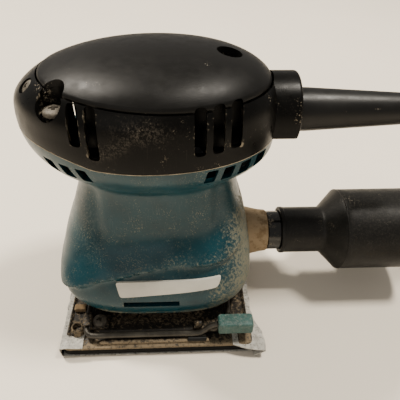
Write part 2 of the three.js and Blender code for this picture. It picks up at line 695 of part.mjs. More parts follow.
/** A plain flat two-pin plug, lying on its side. */
function plugBody() {
  const [face, back] = [PLUG.x - 9, PLUG.x + 25];
  const outline = polygon([
    [face, -13.4],
    [face + 12, -13.4],
    [back - 12, -7.4],
    [back, -5],
    [back, 5],
    [back - 12, 7.4],
    [face + 12, 13.4],
    [face, 13.4],
  ]);
  const body = new THREE.ExtrudeGeometry(outline, {
    depth: 10.4, bevelSize: 1.6, bevelThickness: 2, bevelOffset: -1.6, bevelSegments: 2,
  });
  return body.translate(0, PLUG.y, PLUG.z - 5.2);
}

function plugPin(side) {
  const face = PLUG.x - 9;
  const profile = [[0, face - 19], [1.4, face - 18.6], [2, face - 17.6], [2, face - GAP], [0, face - GAP]];
  return turnedAlongX(profile, 14, PLUG.z, PLUG.y + side * 9.3);
}

// ---- assembly --------------------------------------------------------------------------------

function finish(color, roughness, metalness = 0) {
  return () => new THREE.MeshStandardMaterial({ color, roughness, metalness });
}
const BLACK_PLASTIC = finish(0x1b1b1a, 0.42);
const SOFT_GRIP = finish(0x3a3a36, 0.62);
const TEAL = finish(0x1d4f57, 0.4);
const OFF_WHITE = finish(0xe4e0d6, 0.55);
const DUSTY_TAN = finish(0xa08a66, 0.85);
const RUBBER = finish(0x26241f, 0.72);
const STEEL = finish(0x9a958a, 0.4, 0.9);
const PLATE = finish(0x8f8877, 0.55, 0.7);
const COPPER = finish(0xa8622e, 0.4, 0.9);
const CARBON = finish(0x2a2a2c, 0.7);
const BRASS = finish(0xb08d45, 0.35, 0.9);
const LAMINATION = finish(0x55585a, 0.5, 0.8);
const FOAM = finish(0x151515, 0.9);
const PAPER = finish(0xcfcac0, 0.9);
const LEVER_GREEN = finish(0x4d7b73, 0.6);

const sander = new THREE.Group();

function add(name, geometry, material) {
  const mesh = new THREE.Mesh(tidy(geometry), material());
  mesh.name = name;
  sander.add(mesh);
}

add("handle_cover", handleCover(), BLACK_PLASTIC);
add("top_grip", topGrip(), SOFT_GRIP);
add("motor_housing", motorHousing(), TEAL);
["front_screw_near", "front_screw_far", "rear_screw"].forEach((name, i) => {
  add(name, coverScrew(COVER_SCREWS[i]), STEEL);
});
add("nose_screw", onNose(screw(NOSE.radius, 1.7, 1.5, 0.1).translate(0, 0, -1.2)), STEEL);
add("name_badge", nameBadge(), OFF_WHITE);
add("dust_outlet", dustOutlet(), DUSTY_TAN);
add("dust_spout", dustSpout(), BLACK_PLASTIC);
add("hose_adapter", hoseAdapter(), RUBBER);
add("cord_guard", cordGuard(), RUBBER);
add("cord_clamp", cordClamp(), BLACK_PLASTIC);

add("motor_shaft", motorShaft(), STEEL);
add("counterweight", counterweight(), STEEL);
add("cooling_fan", coolingFan(), BLACK_PLASTIC);
add("stator_core", statorCore(), LAMINATION);
add("field_coil_front", fieldCoil(-1), COPPER);
add("field_coil_rear", fieldCoil(1), COPPER);
add("armature_core", armatureCore(), LAMINATION);
add("armature_winding", armatureWinding(), COPPER);
add("commutator", commutator(), COPPER);
add("carbon_brush_near", brush(-1), CARBON);
add("carbon_brush_far", brush(1), CARBON);
add("brush_holder_near", brushHolder(-1), BRASS);
add("brush_holder_far", brushHolder(1), BRASS);
add("upper_bearing", upperBearing(), STEEL);
add("lower_bearing", lowerBearing(), STEEL);
add("bearing_plate", bearingPlate(), LAMINATION);
["near", "far"].forEach((side, i) => {
  const y = (2 * i - 1) * FOOT.y;
  add(`foot_front_${side}`, rubberFoot(-FOOT.x, y), RUBBER);
  add(`foot_rear_${side}`, rubberFoot(FOOT.x, y), RUBBER);
});
add("switch_body", switchBody(), BLACK_PLASTIC);
add("switch_rocker", switchRocker(), BLACK_PLASTIC);

add("sanding_sheet", sandingSheet(), PAPER);
add("pad_cushion", padCushion(), FOAM);
add("base_plate", basePlate(), PLATE);
add("pad_bearing", padBearing(), STEEL);
add("clamp_strip_front", clampStrip(), STEEL);
add("clamp_strip_rear", opposite(clampStrip()), STEEL);
add("near_lever_wire", wireLever(), STEEL);
add("near_lever_grip", leverGrip(), LEVER_GREEN);
add("near_lever_bracket", leverBracket(), PLATE);
add("near_bracket_screw", bracketScrew(), STEEL);
add("near_lever_hook", leverHook(), PLATE);
add("far_lever_wire", opposite(wireLever()), STEEL);
add("far_lever_grip", opposite(leverGrip()), LEVER_GREEN);
add("far_lever_bracket", opposite(leverBracket()), PLATE);
add("far_bracket_screw", opposite(bracketScrew()), STEEL);
add("far_lever_hook", opposite(leverHook()), PLATE);

add("power_cord", powerCord(), RUBBER);
add("cord_coil", cordCoil(), RUBBER);
add("cord_tail", cordTail(), RUBBER);
add("cord_tie", cordTie(), BLACK_PLASTIC);
add("plug_body", plugBody(), RUBBER);
add("plug_pin_a", plugPin(-1), BRASS);
add("plug_pin_b", plugPin(1), BRASS);

export default sander;
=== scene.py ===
"""Looks of a quarter-sheet orbital sander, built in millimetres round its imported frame."""

import logging
import math
from dataclasses import dataclass
from enum import Enum
from typing import Callable, Iterable, Sequence

import bmesh
import bpy
import numpy as np
from mathutils import Matrix, Vector, noise


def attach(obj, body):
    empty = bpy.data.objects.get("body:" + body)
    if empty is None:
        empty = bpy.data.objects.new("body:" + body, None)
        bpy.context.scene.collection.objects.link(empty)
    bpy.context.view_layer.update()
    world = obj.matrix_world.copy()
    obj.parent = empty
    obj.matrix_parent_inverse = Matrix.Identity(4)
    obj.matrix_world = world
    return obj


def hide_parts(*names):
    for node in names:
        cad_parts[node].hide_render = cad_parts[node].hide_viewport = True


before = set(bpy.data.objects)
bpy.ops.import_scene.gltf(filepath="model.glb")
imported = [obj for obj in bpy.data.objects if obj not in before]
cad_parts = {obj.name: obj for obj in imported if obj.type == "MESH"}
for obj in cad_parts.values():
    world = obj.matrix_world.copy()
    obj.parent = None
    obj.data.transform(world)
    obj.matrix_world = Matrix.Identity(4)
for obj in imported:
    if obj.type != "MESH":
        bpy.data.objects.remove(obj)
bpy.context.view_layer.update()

LOG = logging.getLogger("sander")
METRE = 0.001  # one millimetre in metres
GAP = 0.3  # between pieces that touch
MERGE = 1e-4  # vertices nearer than this become one
BEYOND = 70  # past the body on either side
OVERHEAD = 160  # above the crown
Colour = tuple[float, float, float]
Point = Sequence[float]


class Body(Enum):
    """The rigid bodies of the frame."""

    HOUSING = "housing"
    PAD = "pad"
    NEAR_LEVER = "near_lever"
    FAR_LEVER = "far_lever"
    ROCKER = "rocker"
    ADAPTER = "adapter"


class Axis(Enum):
    """The way that a turned piece points."""

    X = Matrix.Rotation(math.pi / 2, 4, "Y")
    Z = Matrix.Identity(4)


class Side(Enum):
    """The near side of the sander, and the far side, which is the same turned half round."""

    NEAR = 0.0
    FAR = math.pi

    @property
    def turn(self) -> Matrix:
        """The half turn that lays a near piece on this side."""
        return Matrix.Rotation(self.value, 4, "Z")

    @property
    def label(self) -> str:
        """The side's name as it begins a piece's name."""
        return self.name.lower()


# ---- finishes --------------------------------------------------------------------------------


class Nodes:
    """A material's node tree, with the few kinds of node that the finishes use."""

    def __init__(self, name: str) -> None:
        """Start an empty material.

        Args:
            name: the material's name.
        """
        self.material = bpy.data.materials.new(name)
        self.material.use_nodes = True
        self.tree = self.material.node_tree
        self.shader = self.tree.nodes["Principled BSDF"]
        self.place = self.tree.nodes.new("ShaderNodeTexCoord").outputs["Object"]

    def link(self, source: bpy.types.NodeSocket, target: bpy.types.NodeSocket) -> None:
        """Join two sockets."""
        self.tree.links.new(source, target)

    def noise(self, size: float, detail: float = 4.0, rough: float = 0.55, stretch: Point = (1, 1, 1),
              turn: Point = (0, 0, 0)) -> bpy.types.NodeSocket:
        """Fractal noise.

        Args:
            size: the width of its largest features, in millimetres.
            detail: how many finer octaves it has.
            rough: how strong those are.
            stretch: how much longer the features are along each axis.
            turn: the pattern's rotation in degrees.

        Returns:
            A value from about 0 to 1 with its middle at 0.5.
        """
        mapping = self.tree.nodes.new("ShaderNodeMapping")
        mapping.inputs["Scale"].default_value = [1 / (size * METRE * s) for s in stretch]
        mapping.inputs["Rotation"].default_value = [math.radians(t) for t in turn]
        texture = self.tree.nodes.new("ShaderNodeTexNoise")
        texture.inputs["Scale"].default_value = 1.0
        texture.inputs["Detail"].default_value = detail
        texture.inputs["Roughness"].default_value = rough
        self.link(self.place, mapping.inputs["Vector"])
        self.link(mapping.outputs[0], texture.inputs["Vector"])
        return self.stretched(texture.outputs["Fac"], 0.3, 0.7)

    def stretched(self, value: bpy.types.NodeSocket, low: float, high: float, smooth: bool = False,
                  out: tuple[float, float] = (0.0, 1.0)) -> bpy.types.NodeSocket:
        """Spread a range of a value over another range, clamped at both ends.

        Args:
            value: the value.
            low: where its range starts.
            high: where its range ends.
            smooth: whether the spread eases in and out.
            out: the ends of the new range.

        Returns:
            The new value.
        """
        node = self.tree.nodes.new("ShaderNodeMapRange")
        node.interpolation_type = "SMOOTHSTEP" if smooth else "LINEAR"
        self.link(value, node.inputs["Value"])
        node.inputs["From Min"].default_value = low
        node.inputs["From Max"].default_value = high
        node.inputs["To Min"].default_value = out[0]
        node.inputs["To Max"].default_value = out[1]
        return node.outputs["Result"]

    def sum(self, kind: str, first: bpy.types.NodeSocket, second: bpy.types.NodeSocket | float
            ) -> bpy.types.NodeSocket:
        """One step of arithmetic.

        Args:
            kind: ADD, MULTIPLY, MAXIMUM and so on.
            first: a value.
            second: another value, or a plain number.

        Returns:
            The result.
        """
        node = self.tree.nodes.new("ShaderNodeMath")
        node.operation = kind
        self.link(first, node.inputs[0])
        if isinstance(second, float):
            node.inputs[1].default_value = second
        else:
            self.link(second, node.inputs[1])
        return node.outputs[0]

    def attribute(self, name: str) -> bpy.types.NodeSocket:
        """A value painted on the piece's vertices.

        Args:
            name: the attribute's name.

        Returns:
            The value, which is 0 on a piece without it.
        """
        node = self.tree.nodes.new("ShaderNodeAttribute")
        node.attribute_name = name
        return node.outputs["Fac"]

    def mixed(self, amount: bpy.types.NodeSocket, first: bpy.types.NodeSocket | Colour,
              second: Colour) -> bpy.types.NodeSocket:
        """One colour laid over another.

        Args:
            amount: how much of the second colour shows.
            first: the colour underneath.
            second: the colour on top.

        Returns:
            The mixed colour.
        """
        node = self.tree.nodes.new("ShaderNodeMix")
        node.data_type = "RGBA"
        self.link(amount, node.inputs[0])
        if isinstance(first, tuple):
            node.inputs[6].default_value = (*first, 1)
        else:
            self.link(first, node.inputs[6])
        node.inputs[7].default_value = (*second, 1)
        return node.outputs[2]


@dataclass(frozen=True)
class Finish:
    """A surface with its own grain, and the dust, specks and scratches that use has left on it."""

    name: str
    slot: str
    colour: Colour
    roughness: float
    metallic: float = 0.0
    mottle: float = 0.22  # how far the colour wanders
    mottle_size: float = 14.0
    grain: float = 0.02  # height of the surface grain
    grain_size: float = 0.7
    dust: Colour = (0.42, 0.36, 0.27)
    dust_level: float = 0.0  # on top of the dust painted on the piece
    dust_size: float = 2.4
    dust_height: float = 0.08
    scratch: float = 0.0  # how strongly scratches show everywhere
    # the colour of scratches, and of a painted highlight where a piece paints one
    scratch_and_highlight_colour: Colour = (0.45, 0.46, 0.43)
    scratch_turn: float = 20.0
    speck: float = 0.0
    specular: float = 0.5
    coat: float = 0.0

    def material(self) -> bpy.types.Material:
        """The node material, made once and then found by its name."""
        made = bpy.data.materials.get(f"{self.name}_finish")
        return made if made else self._build()

    def _build(self) -> bpy.types.Material:
        """Lay the colour, scratches with any painted highlight, specks and dust over each other.

        Returns:
            The material.
        """
        nodes = Nodes(f"{self.name}_finish")
        darker = tuple(c * (1 - self.mottle) for c in self.colour)
        lighter = tuple(min(1.0, c * (1 + self.mottle)) for c in self.colour)
        colour = nodes.mixed(nodes.noise(self.mottle_size), darker, lighter)
        colour = nodes.mixed(self._scratches_and_highlight(nodes), colour, self.scratch_and_highlight_colour)
        if self.speck:
            colour = nodes.mixed(self._specks(nodes), colour, self.dust)
        dusty = self._dust(nodes)
        colour = nodes.mixed(dusty, colour, self.dust)
        nodes.link(colour, nodes.shader.inputs["Base Color"])
        worn = nodes.stretched(nodes.noise(self.mottle_size / 3), 0, 1, out=(-0.06, 0.06))
        rough = nodes.stretched(dusty, 0, 1, out=(self.roughness, 0.92))
        nodes.link(nodes.sum("ADD", rough, worn), nodes.shader.inputs["Roughness"])
        self._relief(nodes, dusty)
        plain = {"Metallic": self.metallic, "Specular IOR Level": self.specular, "Coat Weight": self.coat,
                 "Coat Roughness": 0.25}
        for name, value in plain.items():
            nodes.shader.inputs[name].default_value = value
        return nodes.material

    def _scratches_and_highlight(self, nodes: Nodes) -> bpy.types.NodeSocket:
        """Fine lines in two directions, in patches, and dense where the scuff attribute says, which on the teal
        casing also paints a highlight along the crease.

        Args:
            nodes: the material in the making.

        Returns:
            How strongly they and that painted highlight show.
        """
        level = nodes.sum("ADD", nodes.attribute("scuff"), self.scratch)
        lines = [
            nodes.stretched(nodes.noise(0.55, 3, 0.6, (1.2, 1.2, 26), (0, tilt, 0)), 0.80, 1.0)
            for tilt in (self.scratch_turn, -1.6 * self.scratch_turn)
        ]
        patch = nodes.stretched(nodes.noise(9, 3), 0.35, 0.9)
        both = nodes.sum("MULTIPLY", nodes.sum("MAXIMUM", lines[0], lines[1]), patch)
        cloud = nodes.stretched(nodes.noise(1.1, 6, 0.8), 0.45, 1.0, out=(0.0, 0.8))
        # the scuff attribute lays scratches, and on the teal casing's crease a painted highlight
        haze = nodes.sum("MULTIPLY", cloud, nodes.attribute("scuff"))
        return nodes.sum("ADD", nodes.sum("MULTIPLY", both, level), haze)

    def _specks(self, nodes: Nodes) -> bpy.types.NodeSocket:
        """Scattered grains, a few tenths of a millimetre across, in patches.

        Args:
            nodes: the material in the making.

        Returns:
            How strongly they show.
        """
        grains = nodes.stretched(nodes.noise(0.55, 0.0, 0.4), 0.985, 1.0)
        patch = nodes.stretched(nodes.noise(11, 5, 0.6), 1.0 - 0.6 * self.speck, 1.0)
        return nodes.sum("MULTIPLY", grains, patch)

    def _dust(self, nodes: Nodes) -> bpy.types.NodeSocket:
        """Settled dust: patchy at the dust's own size, and thickest where it is painted.

        Args:
            nodes: the material in the making.

        Returns:
            How strongly it shows.
        """
        level = nodes.sum("ADD", nodes.attribute("dust"), self.dust_level - 1.0)
        broken = nodes.sum("ADD", nodes.noise(self.dust_size, 8, 0.72), level)
        return nodes.stretched(broken, 0.0, 0.45, smooth=True, out=(0.0, 0.94))

    def _relief(self, nodes: Nodes, dusty: bpy.types.NodeSocket) -> None:
        """Bump from the grain, with the dust standing on it.

        Args:
            nodes: the material in the making.
            dusty: how strongly the dust shows.
        """
        grain = nodes.sum("MULTIPLY", nodes.noise(self.grain_size, 3, 0.6), self.grain)
        crust = nodes.sum("MULTIPLY", nodes.sum("MULTIPLY", dusty, nodes.noise(0.8, 4)), self.dust_height)
        bump = nodes.tree.nodes.new("ShaderNodeBump")
        bump.inputs["Strength"].default_value = 1.0
        bump.inputs["Distance"].default_value = METRE
        nodes.link(nodes.sum("ADD", grain, crust), bump.inputs["Height"])
        nodes.link(bump.outputs["Normal"], nodes.shader.inputs["Normal"])


BLACK_CASING = Finish("black_casing", "black_plastic", (0.0022, 0.0021, 0.0019), 0.32, grain=0.008,
                      speck=0.5, dust=(0.24, 0.205, 0.15), scratch=0.08, scratch_and_highlight_colour=(0.15, 0.13, 0.105),
                      specular=0.09)
SOFT_TOUCH = Finish("soft_touch", "soft_grip", (0.0042, 0.0040, 0.0036), 0.40, grain=0.016, grain_size=0.32,
                    speck=0.3, dust=(0.20, 0.18, 0.145), mottle=0.12, scratch=0.02,
                    scratch_and_highlight_colour=(0.05, 0.046, 0.04), specular=0.13)
# its scratch colour also paints the highlight along the crease
TEAL_CASING = Finish("teal_casing", "teal_plastic", (0.0014, 0.030, 0.041), 0.32, grain=0.010, scratch=0.5,
                     scratch_and_highlight_colour=(0.10, 0.125, 0.115), dust=(0.155, 0.148, 0.105), dust_level=0.14,
                     dust_size=1.5, speck=0.95, specular=0.3)
BADGE_WHITE = Finish("badge_white", "blank_badge", (0.50, 0.48, 0.42), 0.5, mottle=0.1, dust_level=0.2,
                     dust=(0.24, 0.22, 0.17))
CAKED_DUST = Finish("caked_dust", "dusty_fitting", (0.17, 0.115, 0.062), 0.9, mottle=0.35, mottle_size=7,
                    grain=0.12, dust=(0.29, 0.215, 0.13), dust_level=0.45, dust_size=4, specular=0.2)
GLOSS_PIPE = Finish("gloss_pipe", "spout_plastic", (0.003, 0.003, 0.0028), 0.16, grain=0.004, coat=0.3,
                    dust=(0.16, 0.13, 0.09), dust_level=0.06, specular=0.3)
HOSE_RUBBER = Finish("hose_rubber", "hose_rubber", (0.0042, 0.0040, 0.0035), 0.46, grain=0.02,
                     grain_size=1.0, speck=0.4, dust=(0.12, 0.105, 0.08), scratch=0.4,
                     scratch_and_highlight_colour=(0.040, 0.037, 0.030), scratch_turn=75, specular=0.2)
LEAD_RUBBER = Finish("lead_rubber", "cord_rubber", (0.0045, 0.0043, 0.0040), 0.40, grain=0.01, speck=0.35,
                     dust=(0.16, 0.14, 0.11), scratch=0.08, scratch_and_highlight_colour=(0.04, 0.036, 0.03), specular=0.24)
SCREW_STEEL = Finish("screw_steel", "screw_steel", (0.085, 0.074, 0.058), 0.55, 0.2, mottle=0.45,
                     mottle_size=2.2, grain=0.04, dust=(0.17, 0.135, 0.09), dust_level=0.32, dust_size=1.2,
                     specular=0.25)
WIRE_STEEL = Finish("wire_steel", "wire_steel", (0.040, 0.036, 0.029), 0.36, 0.5, mottle=0.4, mottle_size=5,
                    dust=(0.12, 0.094, 0.06), dust_level=0.30, grain=0.02, specular=0.4)
PLATE_METAL = Finish("plate_metal", "plate_metal", (0.016, 0.014, 0.0115), 0.46, 0.2, mottle=0.4,
                     mottle_size=8, grain=0.05, grain_size=1.2, dust=(0.21, 0.16, 0.10), dust_level=0.28,
                     dust_size=1.6, dust_height=0.16, specular=0.3)
SPONGE = Finish("sponge", "foam", (0.006, 0.006, 0.006), 0.95, grain=0.14, grain_size=0.9, dust_level=0.08,
                specular=0.15)
ABRASIVE_BACK = Finish("abrasive_back", "abrasive_paper", (0.40, 0.385, 0.345), 0.85, mottle=0.3,
                       mottle_size=3, grain=0.07, grain_size=1.1, dust=(0.075, 0.072, 0.062), dust_level=0.50,
                       dust_size=1.3, dust_height=0.05, specular=0.2)
ABRASIVE_GRIT = Finish("abrasive_grit", "abrasive_paper", (0.006, 0.0075, 0.013), 0.8, grain=0.12,
                       grain_size=0.5, speck=0.5, dust=(0.12, 0.10, 0.07), specular=0.2)
LEVER_GREEN = Finish("lever_green", "lever_green", (0.018, 0.072, 0.064), 0.45, mottle=0.3, mottle_size=4,
                     grain=0.03, scratch=0.45, scratch_and_highlight_colour=(0.20, 0.22, 0.20), dust=(0.15, 0.17, 0.145),
                     dust_level=0.38, dust_size=1.5, specular=0.35)
SEAM_CREAM = Finish("seam_cream", "dusty_fitting", (0.34, 0.285, 0.20), 0.9, mottle=0.4, mottle_size=5,
                    dust_level=0.2, dust=(0.10, 0.085, 0.06), specular=0.2)
COPPER_WIRE = Finish("copper_wire", "copper_wire", (0.50, 0.20, 0.08), 0.35, 0.9, grain=0.10, grain_size=0.8)
LAMINATION = Finish("lamination", "lamination", (0.10, 0.10, 0.105), 0.5, 0.8, grain=0.05)
GROUND_STEEL = Finish("ground_steel", "shaft_steel", (0.50, 0.50, 0.50), 0.28, 0.95, mottle=0.1)
CAST_WEIGHT = Finish("cast_weight", "weight_metal", (0.30, 0.30, 0.31), 0.5, 0.8, grain=0.06)
BRASS_BRIGHT = Finish("brass_bright", "brass", (0.60, 0.43, 0.17), 0.3, 0.95, mottle=0.12)
CARBON_BLOCK = Finish("carbon_block", "carbon", (0.025, 0.025, 0.027), 0.6, grain=0.05)


# ---- drafting --------------------------------------------------------------------------------


class Join(Enum):
    """How two closed meshes meet."""

    ADD = "UNION"
    CUT = "DIFFERENCE"
    KEEP = "INTERSECT"


def filleted(points: Sequence[Point], radius: float, steps: int = 4, closed: bool = True) -> list[tuple]:
    """Round the corners of an outline.

    Args:
        points: the outline's corners in its own plane.
        radius: how far along each side the rounding starts.
        steps: the number of stretches in each rounded corner.
        closed: False keeps the first and last point as they are.

    Returns:
        The outline with an arc-like curve in place of each corner.
    """
    corners = [Vector(p[:2]) for p in points]
    count = len(corners)
    out: list[tuple] = []
    for i, corner in enumerate(corners):
        if not closed and i in (0, count - 1):
            out.append(tuple(corner))
            continue
        before, after = corners[i - 1] - corner, corners[(i + 1) % count] - corner
        reach = min(radius, before.length * 0.49, after.length * 0.49)
        start, end = corner + before.normalized() * reach, corner + after.normalized() * reach
        for k in range(steps + 1):
            t = k / steps
            out.append(tuple((1 - t) ** 2 * start + 2 * t * (1 - t) * corner + t * t * end))
    return out


def oblong(length: float, width: float, corner: float, x: float = 0.0, y: float = 0.0) -> list[tuple]:
    """The outline of a rectangle with round corners, centred on a point."""
    h, v = length / 2, width / 2
    return filleted([(x - h, y - v), (x + h, y - v), (x + h, y + v), (x - h, y + v)], corner, 5)


def shown(name: str, data: bpy.types.ID) -> bpy.types.Object:
    """Put a mesh, curve, camera or light in the scene.

    Args:
        name: the object's name.
        data: what it shows.

    Returns:
        The object.
    """
    made = bpy.data.objects.new(name, data)
    bpy.context.scene.collection.objects.link(made)
    return made


def round_curve(name: str, route: Sequence[Point], radius: float, resolution: int) -> bpy.types.Curve:
    """A round bar along a smooth route, with closed ends.

    Args:
        name: the curve's name.
        route: the points that it passes through.
        radius: the bar's radius.
        resolution: the number of stretches between two points.

    Returns:
        The curve.
    """
    curve = bpy.data.curves.new(name, "CURVE")
    curve.dimensions = "3D"
    spline = curve.splines.new("BEZIER")
    spline.bezier_points.add(len(route) - 1)
    for knot, place in zip(spline.bezier_points, route):
        knot.co = place
        knot.handle_left_type = knot.handle_right_type = "AUTO"
    spline.resolution_u = resolution
    curve.bevel_depth = radius
    curve.bevel_resolution = 3
    curve.use_fill_caps = True
    return curve


class Draft:
    """A mesh in the making, in millimetres."""

    def __init__(self) -> None:
        """Start with nothing."""
        self.bm = bmesh.new()

    def _place(self, verts: Iterable[bmesh.types.BMVert], matrix: Matrix) -> "Draft":
        """Move new vertices into place and merge the ones that meet.

        Args:
            verts: the new vertices.
            matrix: where they go.

        Returns:
            This draft.
        """
        verts = list(verts)
        bmesh.ops.transform(self.bm, matrix=matrix, verts=verts)
        bmesh.ops.remove_doubles(self.bm, verts=verts, dist=MERGE)
        return self

    def lathe(self, profile: Sequence[Point], steps: int = 48, along: Axis = Axis.Z,
              centre: Point = (0, 0, 0)) -> "Draft":
        """Turn a profile of (radius, distance along the axis) points a full turn.

        Args:
            profile: it starts and ends on the axis, or closes on itself.
            steps: the number of sides.
            along: the axis.
            centre: a point on the axis.

        Returns:
            This draft.
        """
        old = set(self.bm.verts)
        ring = [self.bm.verts.new((radius, 0, rise)) for radius, rise in profile]
        edges = [self.bm.edges.new(pair) for pair in zip(ring, ring[1:])]
        bmesh.ops.spin(self.bm, geom=ring + edges, cent=(0, 0, 0), axis=(0, 0, 1), dvec=(0, 0, 0),
                       angle=2 * math.pi, steps=steps, use_merge=True, use_duplicate=False)
        new = [v for v in self.bm.verts if v not in old]
        return self._place(new, Matrix.Translation(centre) @ along.value)

    def slab(self, outline: Sequence[Point], low: float, high: float, upright: bool = False) -> "Draft":
        """Raise a flat outline.

        Args:
            outline: its points in X and Y, or in X and Z when it stands upright.
            low: where it starts, along Z, or along Y when it stands upright.
            high: where it ends.
            upright: whether the outline is a side view.

        Returns:
            This draft.
        """
        old = set(self.bm.verts)
        base = [self.bm.verts.new((p[0], low, p[1]) if upright else (p[0], p[1], low)) for p in outline]
        face = self.bm.faces.new(base)
        grown = bmesh.ops.extrude_face_region(self.bm, geom=[face])["geom"]
        lifted = [g for g in grown if isinstance(g, bmesh.types.BMVert)]
        shift = (0, high - low, 0) if upright else (0, 0, high - low)
        bmesh.ops.translate(self.bm, verts=lifted, vec=shift)
        return self._place([v for v in self.bm.verts if v not in old], Matrix.Identity(4))

    def box(self, low: Point, high: Point) -> "Draft":
        """Add a box.

        Args:
            low: its lowest corner.
            high: its highest corner.

        Returns:
            This draft.
        """
        low, high = Vector(low), Vector(high)
        matrix = Matrix.Translation((low + high) / 2) @ Matrix.Diagonal((*(high - low), 1))
        bmesh.ops.create_cube(self.bm, size=1, matrix=matrix)
        return self

    def rod(self, route: Sequence[Point], radius: float) -> "Draft":
        """Add a round bar with closed ends.

        Args:
            route: the points that it passes through.
            radius: its radius.

        Returns:
            This draft.
        """
        curve = round_curve("rod", route, radius, 6)
        holder = bpy.data.objects.new("rod", curve)
        mesh = bpy.data.meshes.new_from_object(holder)
        self.bm.from_mesh(mesh)
        bmesh.ops.remove_doubles(self.bm, verts=self.bm.verts, dist=MERGE)
        bpy.data.objects.remove(holder)
        bpy.data.curves.remove(curve)
        bpy.data.meshes.remove(mesh)
        return self

    def add(self, other: "Draft") -> "Draft":
        """Take in another draft's mesh as it is.

        Args:
            other: the other draft, which is used up.

        Returns:
            This draft.
        """
        mesh = bpy.data.meshes.new("added")
        other.bm.to_mesh(mesh)
        other.bm.free()
        self.bm.from_mesh(mesh)
        bpy.data.meshes.remove(mesh)
        return self

    def turned(self, matrix: Matrix) -> "Draft":
        """Move or turn the whole draft."""
        bmesh.ops.transform(self.bm, matrix=matrix, verts=self.bm.verts)
        return self

    def shaped(self, place: Callable[[Vector], Vector]) -> "Draft":
        """Move every vertex.

        Args:
            place: gives a vertex's new place from its old one.

        Returns:
            This draft.
        """
        for vert in self.bm.verts:
            vert.co = place(vert.co)
        bmesh.ops.remove_doubles(self.bm, verts=self.bm.verts, dist=MERGE)
        return self

    def outward(self) -> "Draft":
        """Point every face outwards."""
        bmesh.ops.recalc_face_normals(self.bm, faces=self.bm.faces)
        return self

    def bevelled(self, width: float, segments: int = 3, above: float = 40.0) -> "Draft":
        """Round the sharp edges.

        Args:
            width: how wide the rounding is.
            segments: its number of steps.
            above: the edges that turn by more than this many degrees are rounded.

        Returns:
            This draft.
        """
        self.outward()
        edges = [e for e in self.bm.edges
                 if len(e.link_faces) == 2 and e.calc_face_angle(0.0) > math.radians(above)]
        bmesh.ops.bevel(self.bm, geom=edges, offset=width, offset_type="OFFSET", segments=segments,
                        profile=0.5, affect="EDGES", clamp_overlap=True, material=-1)
        return self

    def _shown(self, name: str) -> bpy.types.Object:
        """Put the draft in the scene.

        Args:
            name: the object's name.

        Returns:
            The object.
        """
        self.outward()
        mesh = bpy.data.meshes.new(name)
        self.bm.to_mesh(mesh)
        return shown(name, mesh)

    def met(self, how: Join, *others: "Draft") -> "Draft":
        """Join, cut or keep this closed mesh with others, which are used up.

        Args:
            how: what the others do to this one.
            others: closed meshes.

        Returns:
            This draft.
        """
        for other in others:
            mine, tool = self._shown("mine"), other._shown("tool")
            step = mine.modifiers.new("join", "BOOLEAN")
            step.operation = how.value
            step.object = tool
            step.solver = "MANIFOLD"
            mesh = bpy.data.meshes.new_from_object(mine.evaluated_get(bpy.context.evaluated_depsgraph_get()))
            self.bm.clear()
            self.bm.from_mesh(mesh)
            for used in (mine, tool):
                data = used.data
                bpy.data.objects.remove(used)
                bpy.data.meshes.remove(data)
            bpy.data.meshes.remove(mesh)
            other.bm.free()
        return self

    def painted(self, name: str, amount: Callable[[Vector], float]) -> "Draft":
        """Paint a value between 0 and 1 on the vertices.

        Args:
            name: the attribute's name.
            amount: gives the value from a vertex's place.

        Returns:
            This draft.
        """
        layer = self.bm.verts.layers.float.get(name) or self.bm.verts.layers.float.new(name)
        for vert in self.bm.verts:
            vert[layer] = min(1.0, max(0.0, amount(vert.co)))
        return self

    def piece(self, name: str, body: Body, finish: Finish, replaces: Sequence[str] = (),
              crease: float = 35.0) -> bpy.types.Object:
        """Finish the draft as a piece of the sander.

        Args:
            name: the piece's name.
            body: what it moves with.
            finish: its material.
            replaces: the CAD nodes that it stands for.
            crease: faces that meet at more than this many degrees show a crisp edge.

        Returns:
            The piece.
        """
        self.outward()
        bmesh.ops.scale(self.bm, vec=(METRE,) * 3, verts=self.bm.verts)
        for face in self.bm.faces:
            face.smooth = True
        for edge in self.bm.edges:
            edge.smooth = len(edge.link_faces) == 2 and edge.calc_face_angle(0.0) < math.radians(crease)
        made = self._shown(name)
        self.bm.free()
        made.data.materials.append(finish.material())
        dress(made, body, finish.slot, replaces)
        LOG.info("%s: %d faces", name, len(made.data.polygons))
        return made


def dress(piece: bpy.types.Object, body: Body, slot: str, replaces: Sequence[str] = ()) -> None:
    """Enter a piece in the frame.

    Args:
        piece: the piece.
        body: what it moves with.
        slot: not used.
        replaces: the CAD nodes that it stands for.
    """
    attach(piece, body.value)
    if replaces:
        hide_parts(*replaces)


def smooth_step(low: float, high: float, value: float) -> float:
    """0 below low, 1 above high, and an easy rise between them. It falls where high is the smaller."""
    t = min(1.0, max(0.0, (value - low) / (high - low)))
    return t * t * (3 - 2 * t)


# ---- studio ----------------------------------------------------------------------------------


